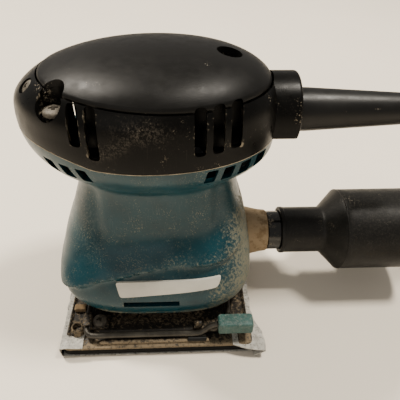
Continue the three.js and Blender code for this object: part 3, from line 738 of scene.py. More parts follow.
@dataclass
class Studio:
    """Camera, floor and light."""

    eye: Point = (13.24, -183.05, 213.76)
    pan: float = 3.224
    tilt: float = 39.968
    roll: float = 1.160
    lens: float = 39.28
    sensor: float = 36.0
    floor_colour: Colour = (0.80, 0.725, 0.61)
    floor_half: float = 3.0  # metres
    floor_drop: float = 0.0002  # metres under the pad, so that the two don't share a plane

    def camera(self) -> None:
        """Place the camera."""
        data = bpy.data.cameras.new("view")
        data.lens = self.lens
        data.sensor_width = self.sensor
        data.clip_start = 0.01
        view = shown("view", data)
        turn = Matrix.Rotation(math.radians(-self.pan), 4, "Z")
        lean = Matrix.Rotation(math.radians(90 - self.tilt), 4, "X")
        spin = Matrix.Rotation(math.radians(self.roll), 4, "Z")
        view.matrix_world = Matrix.Translation(Vector(self.eye) * METRE) @ turn @ lean @ spin
        bpy.context.scene.camera = view

    def floor(self) -> None:
        """A pale floor that runs on past the view."""
        bm = bmesh.new()
        bmesh.ops.create_grid(bm, x_segments=1, y_segments=1, size=self.floor_half)
        bmesh.ops.translate(bm, verts=bm.verts, vec=(0, 0, -self.floor_drop))
        mesh = bpy.data.meshes.new("floor")
        bm.to_mesh(mesh)
        bm.free()
        ground = shown("floor", mesh)
        nodes = Nodes("floor_paint")
        warm = tuple(c * 0.965 for c in self.floor_colour)
        nodes.link(nodes.mixed(nodes.noise(160, 3), warm, self.floor_colour), nodes.shader.inputs["Base Color"])
        nodes.shader.inputs["Roughness"].default_value = 0.7
        mesh.materials.append(nodes.material)

    def lamp(self, name: str, place: Point, aim: Point, size: float, watts: float, tint: Colour) -> None:
        """A square soft light.

        Args:
            name: the lamp's name.
            place: where it stands, in metres.
            aim: the point that it faces, in metres.
            size: the length of its side, in metres.
            watts: its power.
            tint: its colour.
        """
        data = bpy.data.lights.new(name, "AREA")
        data.size = size
        data.energy = watts
        data.color = tint
        lamp = shown(name, data)
        lamp.location = place
        lamp.rotation_euler = (Vector(aim) - Vector(place)).to_track_quat("-Z", "Y").to_euler()

    def light(self) -> None:
        """Two soft lamps overhead, a weak one in front, and an even warm room."""
        self.lamp("lamp_left", (-0.75, 0.55, 1.35), (0, 0, 0.05), 0.2, 39, (1.0, 0.92, 0.80))
        self.lamp("lamp_right", (0.62, 0.12, 1.5), (0, 0, 0.05), 0.26, 33, (1.0, 0.93, 0.82))
        self.lamp("fill", (-0.45, -1.0, 0.55), (0, 0, 0.03), 0.8, 1.8, (1.0, 0.95, 0.88))
        world = bpy.data.worlds.new("room")
        world.use_nodes = True
        glow = world.node_tree.nodes["Background"].inputs
        glow["Color"].default_value = (1.0, 0.945, 0.87, 1)
        glow["Strength"].default_value = 0.42
        bpy.context.scene.world = world


# ---- mains lead ------------------------------------------------------------------------------


@dataclass
class MainsLead:
    """The lead: its drop from the guard, its put-away coil, and the tie and plug on it."""

    diameter: float = 7.0
    length: float = 2000.0
    guard_height: float = 115.0
    guard_end: float = 143.3
    coil_x: float = 228.0
    coil_y: float = -20.0
    inner: float = 30.0
    outer: float = 54.0
    layers: tuple[float, float] = (4.35, 11.45)
    lower_turns: float = 3.4
    all_turns: float = 6.417
    steps_per_turn: int = 18
    start_angle: float = 60.0  # degrees
    growth: float = 21.0  # how far the upper layer winds outwards again
    swing: float = 3.0  # how far the last part of it leaves the circle
    plug: Point = (167.0, -76.0, 8.2)

    def drop(self) -> list[tuple]:
        """The stretch from the guard's end down to the first turn.

        Returns:
            Points on it.
        """
        return [
            (self.guard_end, 0, self.guard_height), (153, 0.2, 114.4), (163, 1, 112), (172, 2.8, 106.8),
            (179.5, 5.6, 99), (185.6, 9.2, 89), (190.8, 13.6, 77.5), (195.6, 18.6, 65), (200.6, 23.8, 52.2),
            (206.4, 29, 39.6), (213.8, 33.6, 28), (223.4, 36.6, 18.2), (234.4, 36.4, 10.6), (245, 32.4, 6.2),
        ]

    def coil(self) -> list[tuple]:
        """Two layers of turns, wound inwards and then outwards on top.

        Returns:
            Points on them.
        """
        points = []
        count = round(self.all_turns * self.steps_per_turn)
        for i in range(count + 1):
            turns = self.all_turns * i / count
            inward = min(1.0, turns / self.lower_turns)
            outward = max(0.0, (turns - self.lower_turns) / (self.all_turns - self.lower_turns))
            radius = self.outer + (self.inner - self.outer) * inward + self.growth * outward
            radius += self.swing * smooth_step(self.all_turns - 0.3, self.all_turns, turns)
            climb = smooth_step(self.lower_turns - 0.3, self.lower_turns + 0.05, turns)
            rise = self.layers[0] + (self.layers[1] - self.layers[0]) * climb
            angle = math.radians(self.start_angle) - 2 * math.pi * turns
            x, y = self.coil_x + radius * math.cos(angle), self.coil_y + radius * math.sin(angle)
            points.append((x, y, rise))
        return points

    def tail(self) -> list[tuple]:
        """The stretch from the last turn to the plug."""
        x, y, z = self.plug
        return [(220, -74.4, 10.9), (212, -75, 9.6), (204, y + 0.3, 8.5), (198, y, z), (x + 24.6, y, z)]

    def lead(self, pieces: Sequence[bpy.types.Object]) -> None:
        """The whole lead as one curve.

        Args:
            pieces: not used.
        """
        route = [Vector(p) * METRE for p in (*self.drop(), *self.coil(), *self.tail())]
        curve = round_curve("mains_lead", route, self.diameter / 2 * METRE, 4)
        curve.materials.append(LEAD_RUBBER.material())
        lead = shown("mains_lead", curve)
        dress(lead, Body.HOUSING, LEAD_RUBBER.slot, ["power_cord", "cord_coil", "cord_tail"])

    def tie(self) -> bpy.types.Object:
        """A hook-and-loop strap round the turns, with its free end lapped on top.

        Returns:
            The strap.
        """
        inner, outer, top = self.inner - 5.0, self.outer + 4.2, self.layers[1] + 4.2
        rim = [(inner, 0.05), (outer, 0.05), (outer, top), (inner, top)]
        left, right, roof = inner + 0.8, outer - 0.8, top - 0.7
        core = [(left, 0.7), (right, 0.7), (right, roof), (left, roof)]
        strap = Draft().slab(filleted(rim, 5, 5), -4, 4, True)
        strap.met(Join.CUT, Draft().slab(filleted(core, 4.5, 5), -6, 6, True))
        strap.add(Draft().box((inner + 8, -3.9, top - 0.2), (outer - 7, 3.9, top + 0.5)))
        place = Matrix.Translation((self.coil_x, self.coil_y, 0)) @ Matrix.Rotation(math.pi * 0.12, 4, "Z")
        return strap.turned(place).bevelled(0.25, 2).piece("coil_tie", Body.HOUSING, LEAD_RUBBER, ["cord_tie"])

    def plug_pieces(self) -> list[bpy.types.Object]:
        """A plain flat two-pin plug with ribs to hold it by.

        Returns:
            The body and both pins.
        """
        x, y, z = self.plug
        face, back = x - 9, x + 25
        outline = [(face, -13.4), (face + 12, -13.4), (back - 12, -7.4), (back, -5)]
        outline += [(px, -py) for px, py in reversed(outline)]
        body = Draft().slab(filleted(outline, 2.6, 4), z - 7, z + 7).bevelled(2.4, 4, 60)
        for i in range(4):
            start = back - 15 + 3.2 * i
            body.met(Join.CUT, Draft().box((start, -20, z + 5.6), (start + 1.3, 20, z + 9)),
                     Draft().box((start, -20, z - 9), (start + 1.3, 20, z - 5.6)))
        body.turned(Matrix.Translation((0, y, 0)))
        made = [body.piece("mains_plug", Body.HOUSING, LEAD_RUBBER, ["plug_body"])]
        profile = [(0, face - 19), (1.2, face - 18.9), (1.9, face - 17.8), (2, face - 17), (2, face - 0.1),
                   (0, face - 0.1)]
        for label, side in (("a", -1), ("b", 1)):
            pin = Draft().lathe(profile, 24, Axis.X, (0, y + side * 9.3, z))
            made.append(pin.piece(f"mains_pin_{label}", Body.HOUSING, BRASS_BRIGHT, [f"plug_pin_{label}"]))
        return made

    def guard(self) -> None:
        """The tapered sleeve, with flex grooves near its tip."""
        root, tip, start, end = 10.2, 6.1, 72.0, 143.0
        profile: list[tuple] = [(0, 57.5), (12.8, 57.5), (12.8, 61.5), (root, 62.4), (root, start)]
        for i in range(5):
            place = 121 + 4.2 * i
            radius = root + (tip - root) * (place - start) / (end - start)
            profile += [(radius, place), (radius - 1.1, place + 0.3), (radius - 1.1, place + 1.5),
                        (radius - 0.1, place + 1.8)]
        profile += [(tip + 0.1, end - 0.9), (tip - 0.6, end), (3.7, end), (0, end - 0.2)]
        Draft().lathe(profile, 64, Axis.X, (0, 0, self.guard_height)).piece(
            "lead_guard", Body.HOUSING, LEAD_RUBBER, ["cord_guard"])

    def build(self) -> None:
        """The lead and all that is on it."""
        self.lead([self.tie(), *self.plug_pieces()])
        self.guard()


# ---- the body's form -------------------------------------------------------------------------


class BodyForm:
    """The body's outer surface: a superellipse that changes with height, and a crease low down."""

    CROWN = 144.9
    # height, half-length, half-width, centre, and the powers of the nose half and the cord half
    STATIONS = (
        (144, 20, 13, 4.5, 2, 2), (141.6, 35, 25, 3.6, 2, 2), (138, 45.6, 33, 2, 2, 2),
        (133.4, 52.8, 37.8, 0.6, 2, 2.05), (127, 58.2, 40.6, -0.5, 1.95, 2.1), (119, 60, 41.7, -0.7, 1.85, 2.1),
        (112, 59.8, 41.7, -0.7, 1.85, 2.1), (106, 58.6, 41, -0.5, 1.85, 2.1), (101, 56.8, 39.6, 0.6, 1.9, 2.1),
        (96.4, 52.6, 37, 1.5, 2, 2.1), (92.4, 45.4, 33.8, 1.9, 2.1, 2.2), (89, 39.4, 32, 1.8, 2.3, 2.4),
        (82, 39.6, 31.3, 1.8, 2.4, 2.5), (73, 41.8, 31.5, 1.3, 2.6, 2.6), (63, 45, 32.6, 1, 2.9, 2.9),
        (54, 48, 35.6, 0.4, 3.2, 3.2), (46, 50, 40, 0, 3.4, 3.4), (39, 51.4, 43.6, -0.4, 3.6, 3.6),
        (30, 51.8, 46, -0.4, 3.7, 3.7), (23, 50.2, 45, 0, 3.5, 3.5), (18, 47, 42.4, 0.2, 3.4, 3.4),
    )
    CREASE_X = (-54.0, -48.0, -27.0, -7.0, 9.0, 25.0, 35.0, 46.0)
    CREASE_Z = (33.0, 35.0, 45.0, 50.0, 52.6, 51.4, 52.2, 55.0)

    def __init__(self, spacing: float = 1.3) -> None:
        """Run a smooth curve through the stations.

        Args:
            spacing: the distance between rows of the surface.
        """
        first = self.STATIONS[0]
        ghost = (first[0], -first[1], -first[2], *first[3:])
        crown = (self.CROWN, 0, 0, *first[3:])
        knots = np.array([ghost, crown, *self.STATIONS, self.STATIONS[-1]], float)
        self.rows = self._curve(knots, spacing)

    @staticmethod
    def _curve(knots: np.ndarray, spacing: float) -> np.ndarray:
        """Points on a smooth curve.

        Args:
            knots: it passes through all of them but the first and last.
            spacing: the distance between points.

        Returns:
            The points, one in each row.
        """
        rows = []
        for before, start, end, after in zip(knots, knots[1:], knots[2:], knots[3:]):
            span = np.linalg.norm((end - start)[:3])
            left = np.linalg.norm((start - before)[:3])
            right = max(np.linalg.norm((after - end)[:3]), span * 0.5)
            slope = [(end - before) / (left + span), (after - start) / (span + right)]
            count = max(1, round(span / spacing))
            for i in range(count):
                t = i / count
                rows.append((2 * t**3 - 3 * t**2 + 1) * start + (3 * t**2 - 2 * t**3) * end
                            + span * ((t**3 - 2 * t**2 + t) * slope[0] + (t**3 - t**2) * slope[1]))
        rows.append(knots[-2])
        return np.array(rows)

    @staticmethod
    def reach(row: np.ndarray, turn: float) -> float:
        """The distance from a row's centre to its outline.

        Args:
            row: one of the surface's rows.
            turn: the direction from its centre, in radians.

        Returns:
            The distance.
        """
        _, length, width, _, nose, tail = row
        if length < 1e-6:
            return 0.0
        power = nose if math.cos(turn) < 0 else tail
        along, across = abs(math.cos(turn)) / length, abs(math.sin(turn)) / width
        return (along**power + across**power) ** (-1 / power)

    def crease(self, x: float, z: float) -> float:
        """The crease: a broad slope above its line and a short one below, and the folds of the neck.

        Args:
            x: a place along the body.
            z: its height.

        Returns:
            How far the surface stands out there.
        """
        above = z - float(np.interp(x, self.CREASE_X, self.CREASE_Z))
        spread = 7.5 if above > 0 else 2.2
        strength = 5.0 * smooth_step(-56, -44, x) * smooth_step(50, 34, x)
        fold = smooth_step(57, 68, z) * smooth_step(96, 84, z) * math.exp(-(((abs(x - 1.5) - 29.5) / 3.2) ** 2))
        return strength * math.exp(-((above / spread) ** 2)) - 1.5 * fold

    def inset(self, offset: float) -> np.ndarray:
        """The rows moved in square to the surface's mean slope.

        Args:
            offset: how far they move.

        Returns:
            The moved rows.
        """
        rows = self.rows.copy()
        step = np.gradient(rows, axis=0)
        spread = (step[:, 1] + step[:, 2]) / 2
        slant = np.arctan2(spread, -step[:, 0])
        rows[:, 0] -= offset * np.sin(slant)
        rows[1:, 1] -= offset * np.cos(slant[1:])
        rows[1:, 2] -= offset * np.cos(slant[1:])
        rows[:, 1:3] = np.maximum(rows[:, 1:3], 0.0)
        return rows

    def solid(self, offset: float = 0.0, steps: int = 144, bottom: float = 18.0) -> Draft:
        """The body as one closed solid.

        Args:
            offset: how far inside the surface it lies.
            steps: the number of sides.
            bottom: the height of its flat foot.

        Returns:
            A new draft.
        """
        rows = self.inset(offset)
        rows = rows[rows[:, 0] > bottom + 0.4]
        foot = rows[-1].copy()
        foot[0] = bottom
        centre = foot.copy()
        centre[1:3] = 0
        rows = np.vstack([rows, foot, centre])
        shape = Draft().lathe([(1, i) for i in range(len(rows))], steps)

        def place(co: Vector) -> Vector:
            """Send a vertex of the lathed stand-in to its row and direction.

            Args:
                co: where the vertex is.

            Returns:
                Its new place.
            """
            row = rows[round(co.z)]
            turn = math.atan2(co.y, co.x)
            reach = self.reach(row, turn)
            x = row[3] + reach * math.cos(turn)
            if reach > 20 and row[0] < 98:
                reach += self.crease(x, row[0]) * abs(math.sin(turn))
            return Vector((row[3] + reach * math.cos(turn), reach * math.sin(turn), row[0]))

        return shape.shaped(place)

    def at_height(self, height: float) -> np.ndarray:
        """The row at a height.

        Args:
            height: the height.

        Returns:
            The row, between its neighbours.
        """
        order = np.argsort(self.rows[:, 0])
        rows = self.rows[order]
        return np.array([height, *(np.interp(height, rows[:, 0], rows[:, k]) for k in range(1, 6))])

    def crown_height(self, x: float, y: float) -> float:
        """The height of the upper surface over a point in plan.

        Args:
            x: the point's place along the body.
            y: its place across the body.

        Returns:
            The height.
        """
        last = None
        for row in self.rows[1:]:
            power = row[4] if x < row[3] else row[5]
            level = ((abs(x - row[3]) / row[1]) ** power + (abs(y) / row[2]) ** power) ** (1 / power)
            if level <= 1:
                if last is None:
                    return self.CROWN - (self.CROWN - row[0]) * level**2
                share = (last[1] - 1) / max(last[1] - level, 1e-9)
                return last[0] + (row[0] - last[0]) * share
            last = (row[0], level)
        return float(self.rows[-1, 0])

    def crown_point(self, x: float, y: float, lift: float) -> Vector:
        """A point over or under the upper surface, square to it.

        Args:
            x: its foot's place along the body.
            y: its foot's place across the body.
            lift: how far over the surface it is.

        Returns:
            The point.
        """
        h = 0.8
        z = self.crown_height(x, y)
        along = (self.crown_height(x + h, y) - self.crown_height(x - h, y)) / (2 * h)
        across = (self.crown_height(x, y + h) - self.crown_height(x, y - h)) / (2 * h)
        return Vector((x, y, z)) + Vector((-along, -across, 1)).normalized() * lift


FORM = BodyForm()


@dataclass
class Casings:
    """The handle cover, the soft grip let into it, the motor housing and the dust in their seam."""

    wall: float = 2.6
    seam: float = 108.0
    seam_rise: float = 5.6
    collar_radius: float = 17.0
    collar_end: float = 67.0
    collar_height: float = 116.0
    guard_height: float = 115.0
    guard_bore: float = 10.7
    slot_width: float = 4.8
    slot_top: float = 134.6
    slot_places: tuple[tuple[float, float], ...] = (
        (-28, 118.6), (-20.8, 113.6), (21.2, 115.4), (28.6, 115.4), (36, 116))
    wells: tuple[tuple[float, float, float, float], ...] = (
        (-37.2, -23.8, 126.6, 6.0), (-37.2, 23.8, 126.6, 6.0), (35, 0, 135, 5.6))
    nose: Point = (-50.6, -10.4, 132.2)
    nose_radius: float = 3.4
    grip_centre: float = 3.5
    grip_reach: tuple[float, float] = (51.5, 38.0)
    grip_depth: float = 2.3
    dust_height: float = 36.5

    def seam_height(self, x: float) -> float:
        """The seam is level, and rises towards the nose."""
        return self.seam + self.seam_rise * (1 - math.exp(-((max(0.0, -22 - x) / 17) ** 1.2)))

    def nose_place(self) -> Matrix:
        """The place of the small screw, square to the nose."""
        return (Matrix.Translation(self.nose) @ Matrix.Rotation(math.pi / 8, 4, "Z")
                @ Matrix.Rotation(-math.pi / 4, 4, "Y"))

    def half(self, upper: bool) -> Draft:
        """All the space on one side of the seam.

        Args:
            upper: whether it is the side above.

        Returns:
            A new draft.
        """
        shift = GAP / 2 if upper else -GAP / 2
        line = [(x, self.seam_height(x) + shift) for x in range(90, -91, -3)]
        far = 170 if upper else 0
        return Draft().slab([*line, (-90, far), (90, far)], -BEYOND, BEYOND, True)

    def side_slots(self) -> list[Draft]:
        """The air slots, each through both sides.

        Returns:
            One draft for each.
        """
        half = self.slot_width / 2
        outlines = [[(x - half, low), (x + half, low), (x + half, self.slot_top), (x - half, self.slot_top)]
                    for x, low in self.slot_places]
        return [Draft().slab(filleted(outline, 2.0, 5), -BEYOND, BEYOND, True) for outline in outlines]

    def vents(self) -> list[Draft]:
        """The slanting air vents under the seam.

        Returns:
            One draft for each.
        """
        top, floor, width = self.seam - 1.3, 99.4, 4.8
        leaning = [(x, 2.6) for x in (-46, -38.5, -31)] + [(x, -1.8) for x in (24.5, 32, 39.5, 47)]
        outlines = [[(x, top), (x + lean, floor), (x + lean + width, floor), (x + width, top)]
                    for x, lean in leaning]
        return [Draft().slab(filleted(outline, 0.7, 3), -BEYOND, BEYOND, True) for outline in outlines]

    def well(self, index: int, extra: float, low: float) -> Draft:
        """A column over a cover screw: upright, and at the nose also leaning outwards.

        Args:
            index: the screw's number.
            extra: how much wider than the screw's hole it is.
            low: where it starts, from the screw's seat.

        Returns:
            A new draft.
        """
        x, y, seat, hole = self.wells[index]
        radius = hole + extra
        upright = [(0, seat + low), (radius, seat + low), (radius, OVERHEAD), (0, OVERHEAD)]
        column = Draft().lathe(upright, 48, centre=(x, y, 0))
        if y:
            lean = Matrix.Rotation(math.radians(34), 4, Vector((-y, -10, 0)))
            cone = [(0, 0), (radius - 0.8, 0), (radius + 2.0, 14), (radius + 2.0, 40), (0, 40)]
            column.met(Join.ADD, Draft().lathe(cone, 48).turned(Matrix.Translation((x, y, seat)) @ lean))
        return column

    def grip_column(self, inset: float, low: float) -> Draft:
        """The upright oval that bounds the grip.

        Args:
            inset: how much smaller than the grip's seat it is.
            low: where it starts.

        Returns:
            A new draft.
        """
        a, b = (reach - inset for reach in self.grip_reach)
        oval = [(self.grip_centre + a * math.cos(t), b * math.sin(t))
                for t in np.linspace(0, 2 * math.pi, 129)[:-1]]
        return Draft().slab(oval, low, OVERHEAD)

    def hollow(self) -> Draft:
        """The space inside the walls and the collar.

        Returns:
            A new draft.
        """
        inside = FORM.solid(self.wall, 72, 10.0)
        crown = FORM.solid(self.wall + self.grip_depth, 72, 10.0)
        rim = Draft().slab(oblong(140, 120, 2), 0, 123)
        inside.met(Join.KEEP, rim).met(Join.ADD, crown)
        neck = [(0, 30), (14.4, 30), (14.4, 64.4), (0, 64.4)]
        return inside.met(Join.ADD, Draft().lathe(neck, 64, Axis.X, (0, 0, self.collar_height)))

    def dusty_cover(self, co: Vector) -> float:
        """Dust in the rims of the slots, along the seam and round the collar's foot.

        Args:
            co: a vertex's place.

        Returns:
            The amount of dust.
        """
        level = 0.52 * smooth_step(2.2, 0.1, co.z - self.seam_height(co.x)) * smooth_step(30, -45, co.x)
        for x, low in self.slot_places:
            if abs(abs(co.x - x) - self.slot_width / 2) < 0.2 and low - 0.2 < co.z < self.slot_top:
                level = max(level, 0.46 + 0.5 * smooth_step(low + 3, low, co.z))
        for x, y, seat, hole in self.wells:
            if math.hypot(co.x - x, co.y - y) < hole + 0.4 and co.z < seat + 8:
                level = max(level, 0.52)
        if co.x > 56:
            level = max(level, 0.42 * smooth_step(121, 106, co.z))
        return level

    def scuffed_cover(self, co: Vector) -> float:
        """A rubbed patch on the near side of the band, with a trail that runs down to the seam.

        Args:
            co: a vertex's place.

        Returns:
            How far it is rubbed.
        """
        if co.y > -30:
            return 0.0
        patch = math.exp(-(((co.x + 1) / 9) ** 2) - (((co.z - 126.5) / 3.6) ** 2))
        along = (co.x + 14) * 0.55 - (co.z - 119)
        trail = math.exp(-((along / 3.0) ** 2)) * smooth_step(-26, -18, co.x) * smooth_step(2, -8, co.x)
        return max(patch, 0.75 * trail)

    def cover(self) -> None:
        """The black upper casing."""
        radius, end = self.collar_radius, self.collar_end
        rim = filleted([(radius, 40), (radius, end), (0, end)], 1.8, 6, False)
        collar = Draft().lathe([(0, 40), *rim], 96, Axis.X, (0, 0, self.collar_height))
        body = FORM.solid().met(Join.ADD, collar).met(Join.CUT, self.hollow())
        seat = self.grip_column(0, 122).met(Join.CUT, FORM.solid(self.grip_depth, 96))
        pillars = [self.well(i, 1.8, self.seam + 8 - well[2]).met(Join.KEEP, FORM.solid(1.0, 72, 100))
                   for i, well in enumerate(self.wells)]
        body.met(Join.CUT, *self.side_slots()).met(Join.ADD, *pillars)
        body.met(Join.CUT, seat, *(self.well(i, 0, 0) for i in range(3)))
        mouth = [(0, 60), (self.guard_bore, 60), (self.guard_bore, 75), (0, 75)]
        body.met(Join.CUT, Draft().lathe(mouth, 64, Axis.X, (0, 0, self.guard_height)))
        rocker_hole = Draft().box((-11.3, 34, 113.2), (11.3, 48, 125.8))
        recess = [(0, -1.5), (self.nose_radius + 0.3, -1.5), (self.nose_radius + 0.8, 8), (0, 8)]
        nose_hole = Draft().lathe(recess, 32).turned(self.nose_place())
        body.met(Join.CUT, rocker_hole, nose_hole).met(Join.KEEP, self.half(True))
        body.painted("dust", self.dusty_cover).painted("scuff", self.scuffed_cover)
        body.piece("upper_casing", Body.HOUSING, BLACK_CASING, ["handle_cover"], 30)

    def grip(self) -> None:
        """The soft grip: a dome that follows the crown, with a rolled edge down into its seat."""
        a, b = (reach - GAP for reach in self.grip_reach)
        proud, roll, sunk = 0.4, 1.5, -self.grip_depth + 0.3
        inner = 1 - roll / b
        top = [(inner * i / 26, proud) for i in range(27)]
        edge = [(1 - roll / b * (1 - math.sin(t)), proud - roll * (1 - math.cos(t)))
                for t in np.linspace(0.12, math.pi / 2, 7)]
        profile = [*top, *edge, (1, sunk), (inner, sunk), (0.5, sunk), (0, sunk)]

        def place(co: Vector) -> Vector:
            """Send a vertex from the unit circle to the oval, at its height over the crown.

            Args:
                co: where the vertex is.

            Returns:
                Its new place.
            """
            share, turn = math.hypot(co.x, co.y), math.atan2(co.y, co.x)
            x = self.grip_centre + a * share * math.cos(turn)
            return FORM.crown_point(x, b * share * math.sin(turn), co.z)

        skin = Draft().lathe(profile, 144).shaped(place)
        skin.met(Join.CUT, *(self.well(i, 0, -20) for i in range(3)), *self.side_slots())
        skin.piece("crown_grip", Body.HOUSING, SOFT_TOUCH, ["top_grip"], 40)

    def dusty_housing(self, co: Vector) -> float:
        """Dust over the low edge, the cord end and the ledge under the crease.

        Args:
            co: a vertex's place.

        Returns:
            The amount of dust.
        """
        low = 0.78 * smooth_step(26, 19, co.z) * (0.6 + 0.4 * smooth_step(5, 35, abs(co.x)))
        rear = 0.76 * smooth_step(22, 48, co.x) * smooth_step(88, 60, co.z)
        patch = 0.55 * smooth_step(16, 34, co.x) * smooth_step(50, 38, co.z) * smooth_step(10, -20, co.y)
        ledge = 0.30 * math.exp(-(((co.z - 52) / 9) ** 2))
        ledge *= smooth_step(-10, -30, co.y) * smooth_step(-38, 0, co.x)
        corner = 0.42 * smooth_step(-40, -52, co.x) * smooth_step(46, 30, co.z)
        slot = 0.25 if 27.4 < co.z < 31.9 and -17.4 < co.x < 12.2 and co.y < -40 else 0.0
        neck = 0.13 * smooth_step(92, 84, co.z) * smooth_step(52, 62, co.z)
        return max(low, rear, patch, ledge, corner, slot, neck)

    def scuffs_and_crease_highlight(self, co: Vector) -> float:
        """Rubbed places on the neck's front corner and the lower rear, and a painted highlight along the top of the
        crease.

        Args:
            co: a vertex's place.

        Returns:
            How far it is rubbed, and how strongly the painted highlight shows.
        """
        corner = math.exp(-(((co.x + 33) / 7) ** 2)) * smooth_step(90, 74, co.z) * smooth_step(44, 60, co.z)
        # painted highlight: a pale stripe just above the crease line, laid in with the scratches
        above = co.z - float(np.interp(co.x, FORM.CREASE_X, FORM.CREASE_Z))
        crease = math.exp(-(((above - 0.8) / 2.2) ** 2)) * smooth_step(-34, -12, co.x)
        spine = 0.9 * math.exp(-(((co.x - 37) / 4) ** 2))
        spine *= smooth_step(56, 66, co.z) * smooth_step(92, 84, co.z)
        return 0.9 * max(corner, 0.75 * crease, spine)

    def housing(self) -> None:
        """The teal lower casing."""
        body = FORM.solid().met(Join.CUT, self.hollow())
        bore = [(0, 30), (12.2, 30), (12.2, 70), (0, 70)]
        body.met(Join.CUT, Draft().lathe(bore, 48, Axis.X, (0, 0, self.dust_height)), *self.vents())
        front_slot = filleted([(-16.8, 27.9), (11.6, 27.9), (11.6, 31.4), (-16.8, 31.4)], 0.6, 3)
        body.met(Join.CUT, Draft().slab(front_slot, -60, -36, True)).met(Join.KEEP, self.half(False))
        body.painted("dust", self.dusty_housing).painted("scuff", self.scuffs_and_crease_highlight)
        body.piece("lower_casing", Body.HOUSING, TEAL_CASING, ["motor_housing"], 30)

    def seam_dust(self) -> None:
        """The cream line of dust packed in the seam."""
        ring = 100  # the section is turned at this radius, and then laid along the seam
        section = [(98.6, -0.14), (100.05, -0.14), (100.1, 0), (100.05, 0.14), (98.6, 0.14), (98.6, -0.14)]

        def place(co: Vector) -> Vector:
            """Send a vertex from the circle to the seam's line round the body.

            Args:
                co: where the vertex is.

            Returns:
                Its new place.
            """
            turn, inward = math.atan2(co.y, co.x), math.hypot(co.x, co.y) - ring
            row = FORM.at_height(self.seam)
            for _ in range(2):
                reach = FORM.reach(row, turn) + inward
                x = row[3] + reach * math.cos(turn)
                row = FORM.at_height(self.seam_height(x))
            return Vector((x, reach * math.sin(turn), self.seam_height(x) + co.z))

        band = Draft().lathe(section, 192).shaped(place)
        band.piece("seam_dust", Body.HOUSING, SEAM_CREAM)

    def slot_shade_walls(self) -> None:
        """Black walls behind the slots of each side, put in for the shade seen through them."""
        walls = Draft()
        # dark walls that stand in for the shade inside the body behind the slots
        for y in (-24, 22):
            walls.box((16, y, 110), (42, y + 2, 132)).box((-28.9, y, 110), (-15, y + 2, 134))
        walls.bevelled(0.4, 2).piece("slot_shade_liner", Body.HOUSING, BLACK_CASING)

    def build(self) -> None:
        """Both casings and the grip."""
        self.cover()
        self.grip()
        self.housing()
        self.seam_dust()
        self.slot_shade_walls()


def cross_head_screw(radius: float, height: float, shank: float = 1.9) -> Draft:
    """A pan-head screw that stands upright on its seat, with a tapering cross in its head.

    Args:
        radius: the head's radius.
        height: the head's height.
        shank: the shank's radius.

    Returns:
        A new draft.
    """
    head = [(0, -1.2), (shank, -1.2), (shank, 0), (radius, 0)]
    head += [(radius * math.cos(t), height * (0.35 + 0.65 * math.sin(t)))
             for t in np.linspace(0, math.pi / 2, 9)]
    body = Draft().lathe([*head[:-1], (0, height)], 40)
    arm, half, deep = radius * 0.58, radius * 0.15, height * 0.35
    for turn in (0, math.pi / 2):
        blade = [(-arm * 0.45, deep), (arm * 0.45, deep), (arm, height + 1), (-arm, height + 1)]
        cutter = Draft().slab(blade, -half, half, True).turned(Matrix.Rotation(turn, 4, "Z"))
        body.met(Join.CUT, cutter)
    return body


@dataclass
class CoverScrews:
    """The screws that hold the cover down, and the small one in the nose."""

    casings: Casings
    radius: float = 4.6
    height: float = 2.6
    turns: tuple[float, float, float] = (12, 50, 33)  # of their crosses, in degrees

    def build(self) -> None:
        """Each screw on its seat, with its cross turned its own way."""
        names = ("front_screw_near", "front_screw_far", "rear_screw")
        for (x, y, seat, _), name, turn in zip(self.casings.wells, names, self.turns):
            place = Matrix.Translation((x, y, seat + GAP)) @ Matrix.Rotation(math.radians(turn), 4, "Z")
            cross_head_screw(self.radius, self.height).turned(place).piece(
                f"{name}_fine", Body.HOUSING, SCREW_STEEL, [name])
        place = self.casings.nose_place() @ Matrix.Translation((0, 0, -1.2))
        cross_head_screw(self.casings.nose_radius, 1.7, 1.5).turned(place).piece(
            "nose_screw_fine", Body.HOUSING, SCREW_STEEL, ["nose_screw"])


@dataclass
class Badge:
    """A plain slanting bar that follows the housing's near side."""

    corners: tuple[tuple[float, float], ...] = ((-18, 35.2), (31, 38.4), (33, 43.2), (-20, 43.2))
    proud: float = 1.0

    def build(self) -> None:
        """Keep the part of a thin skin that lies inside the outline."""
        skin = FORM.solid(-self.proud, 144, 18).met(Join.CUT, FORM.solid(0.1, 144, 16))
        skin.met(Join.KEEP, Draft().slab(filleted(self.corners, 1.5, 5), -52, -34, True))
        skin.piece("blank_badge", Body.HOUSING, BADGE_WHITE, ["name_badge"], 30)


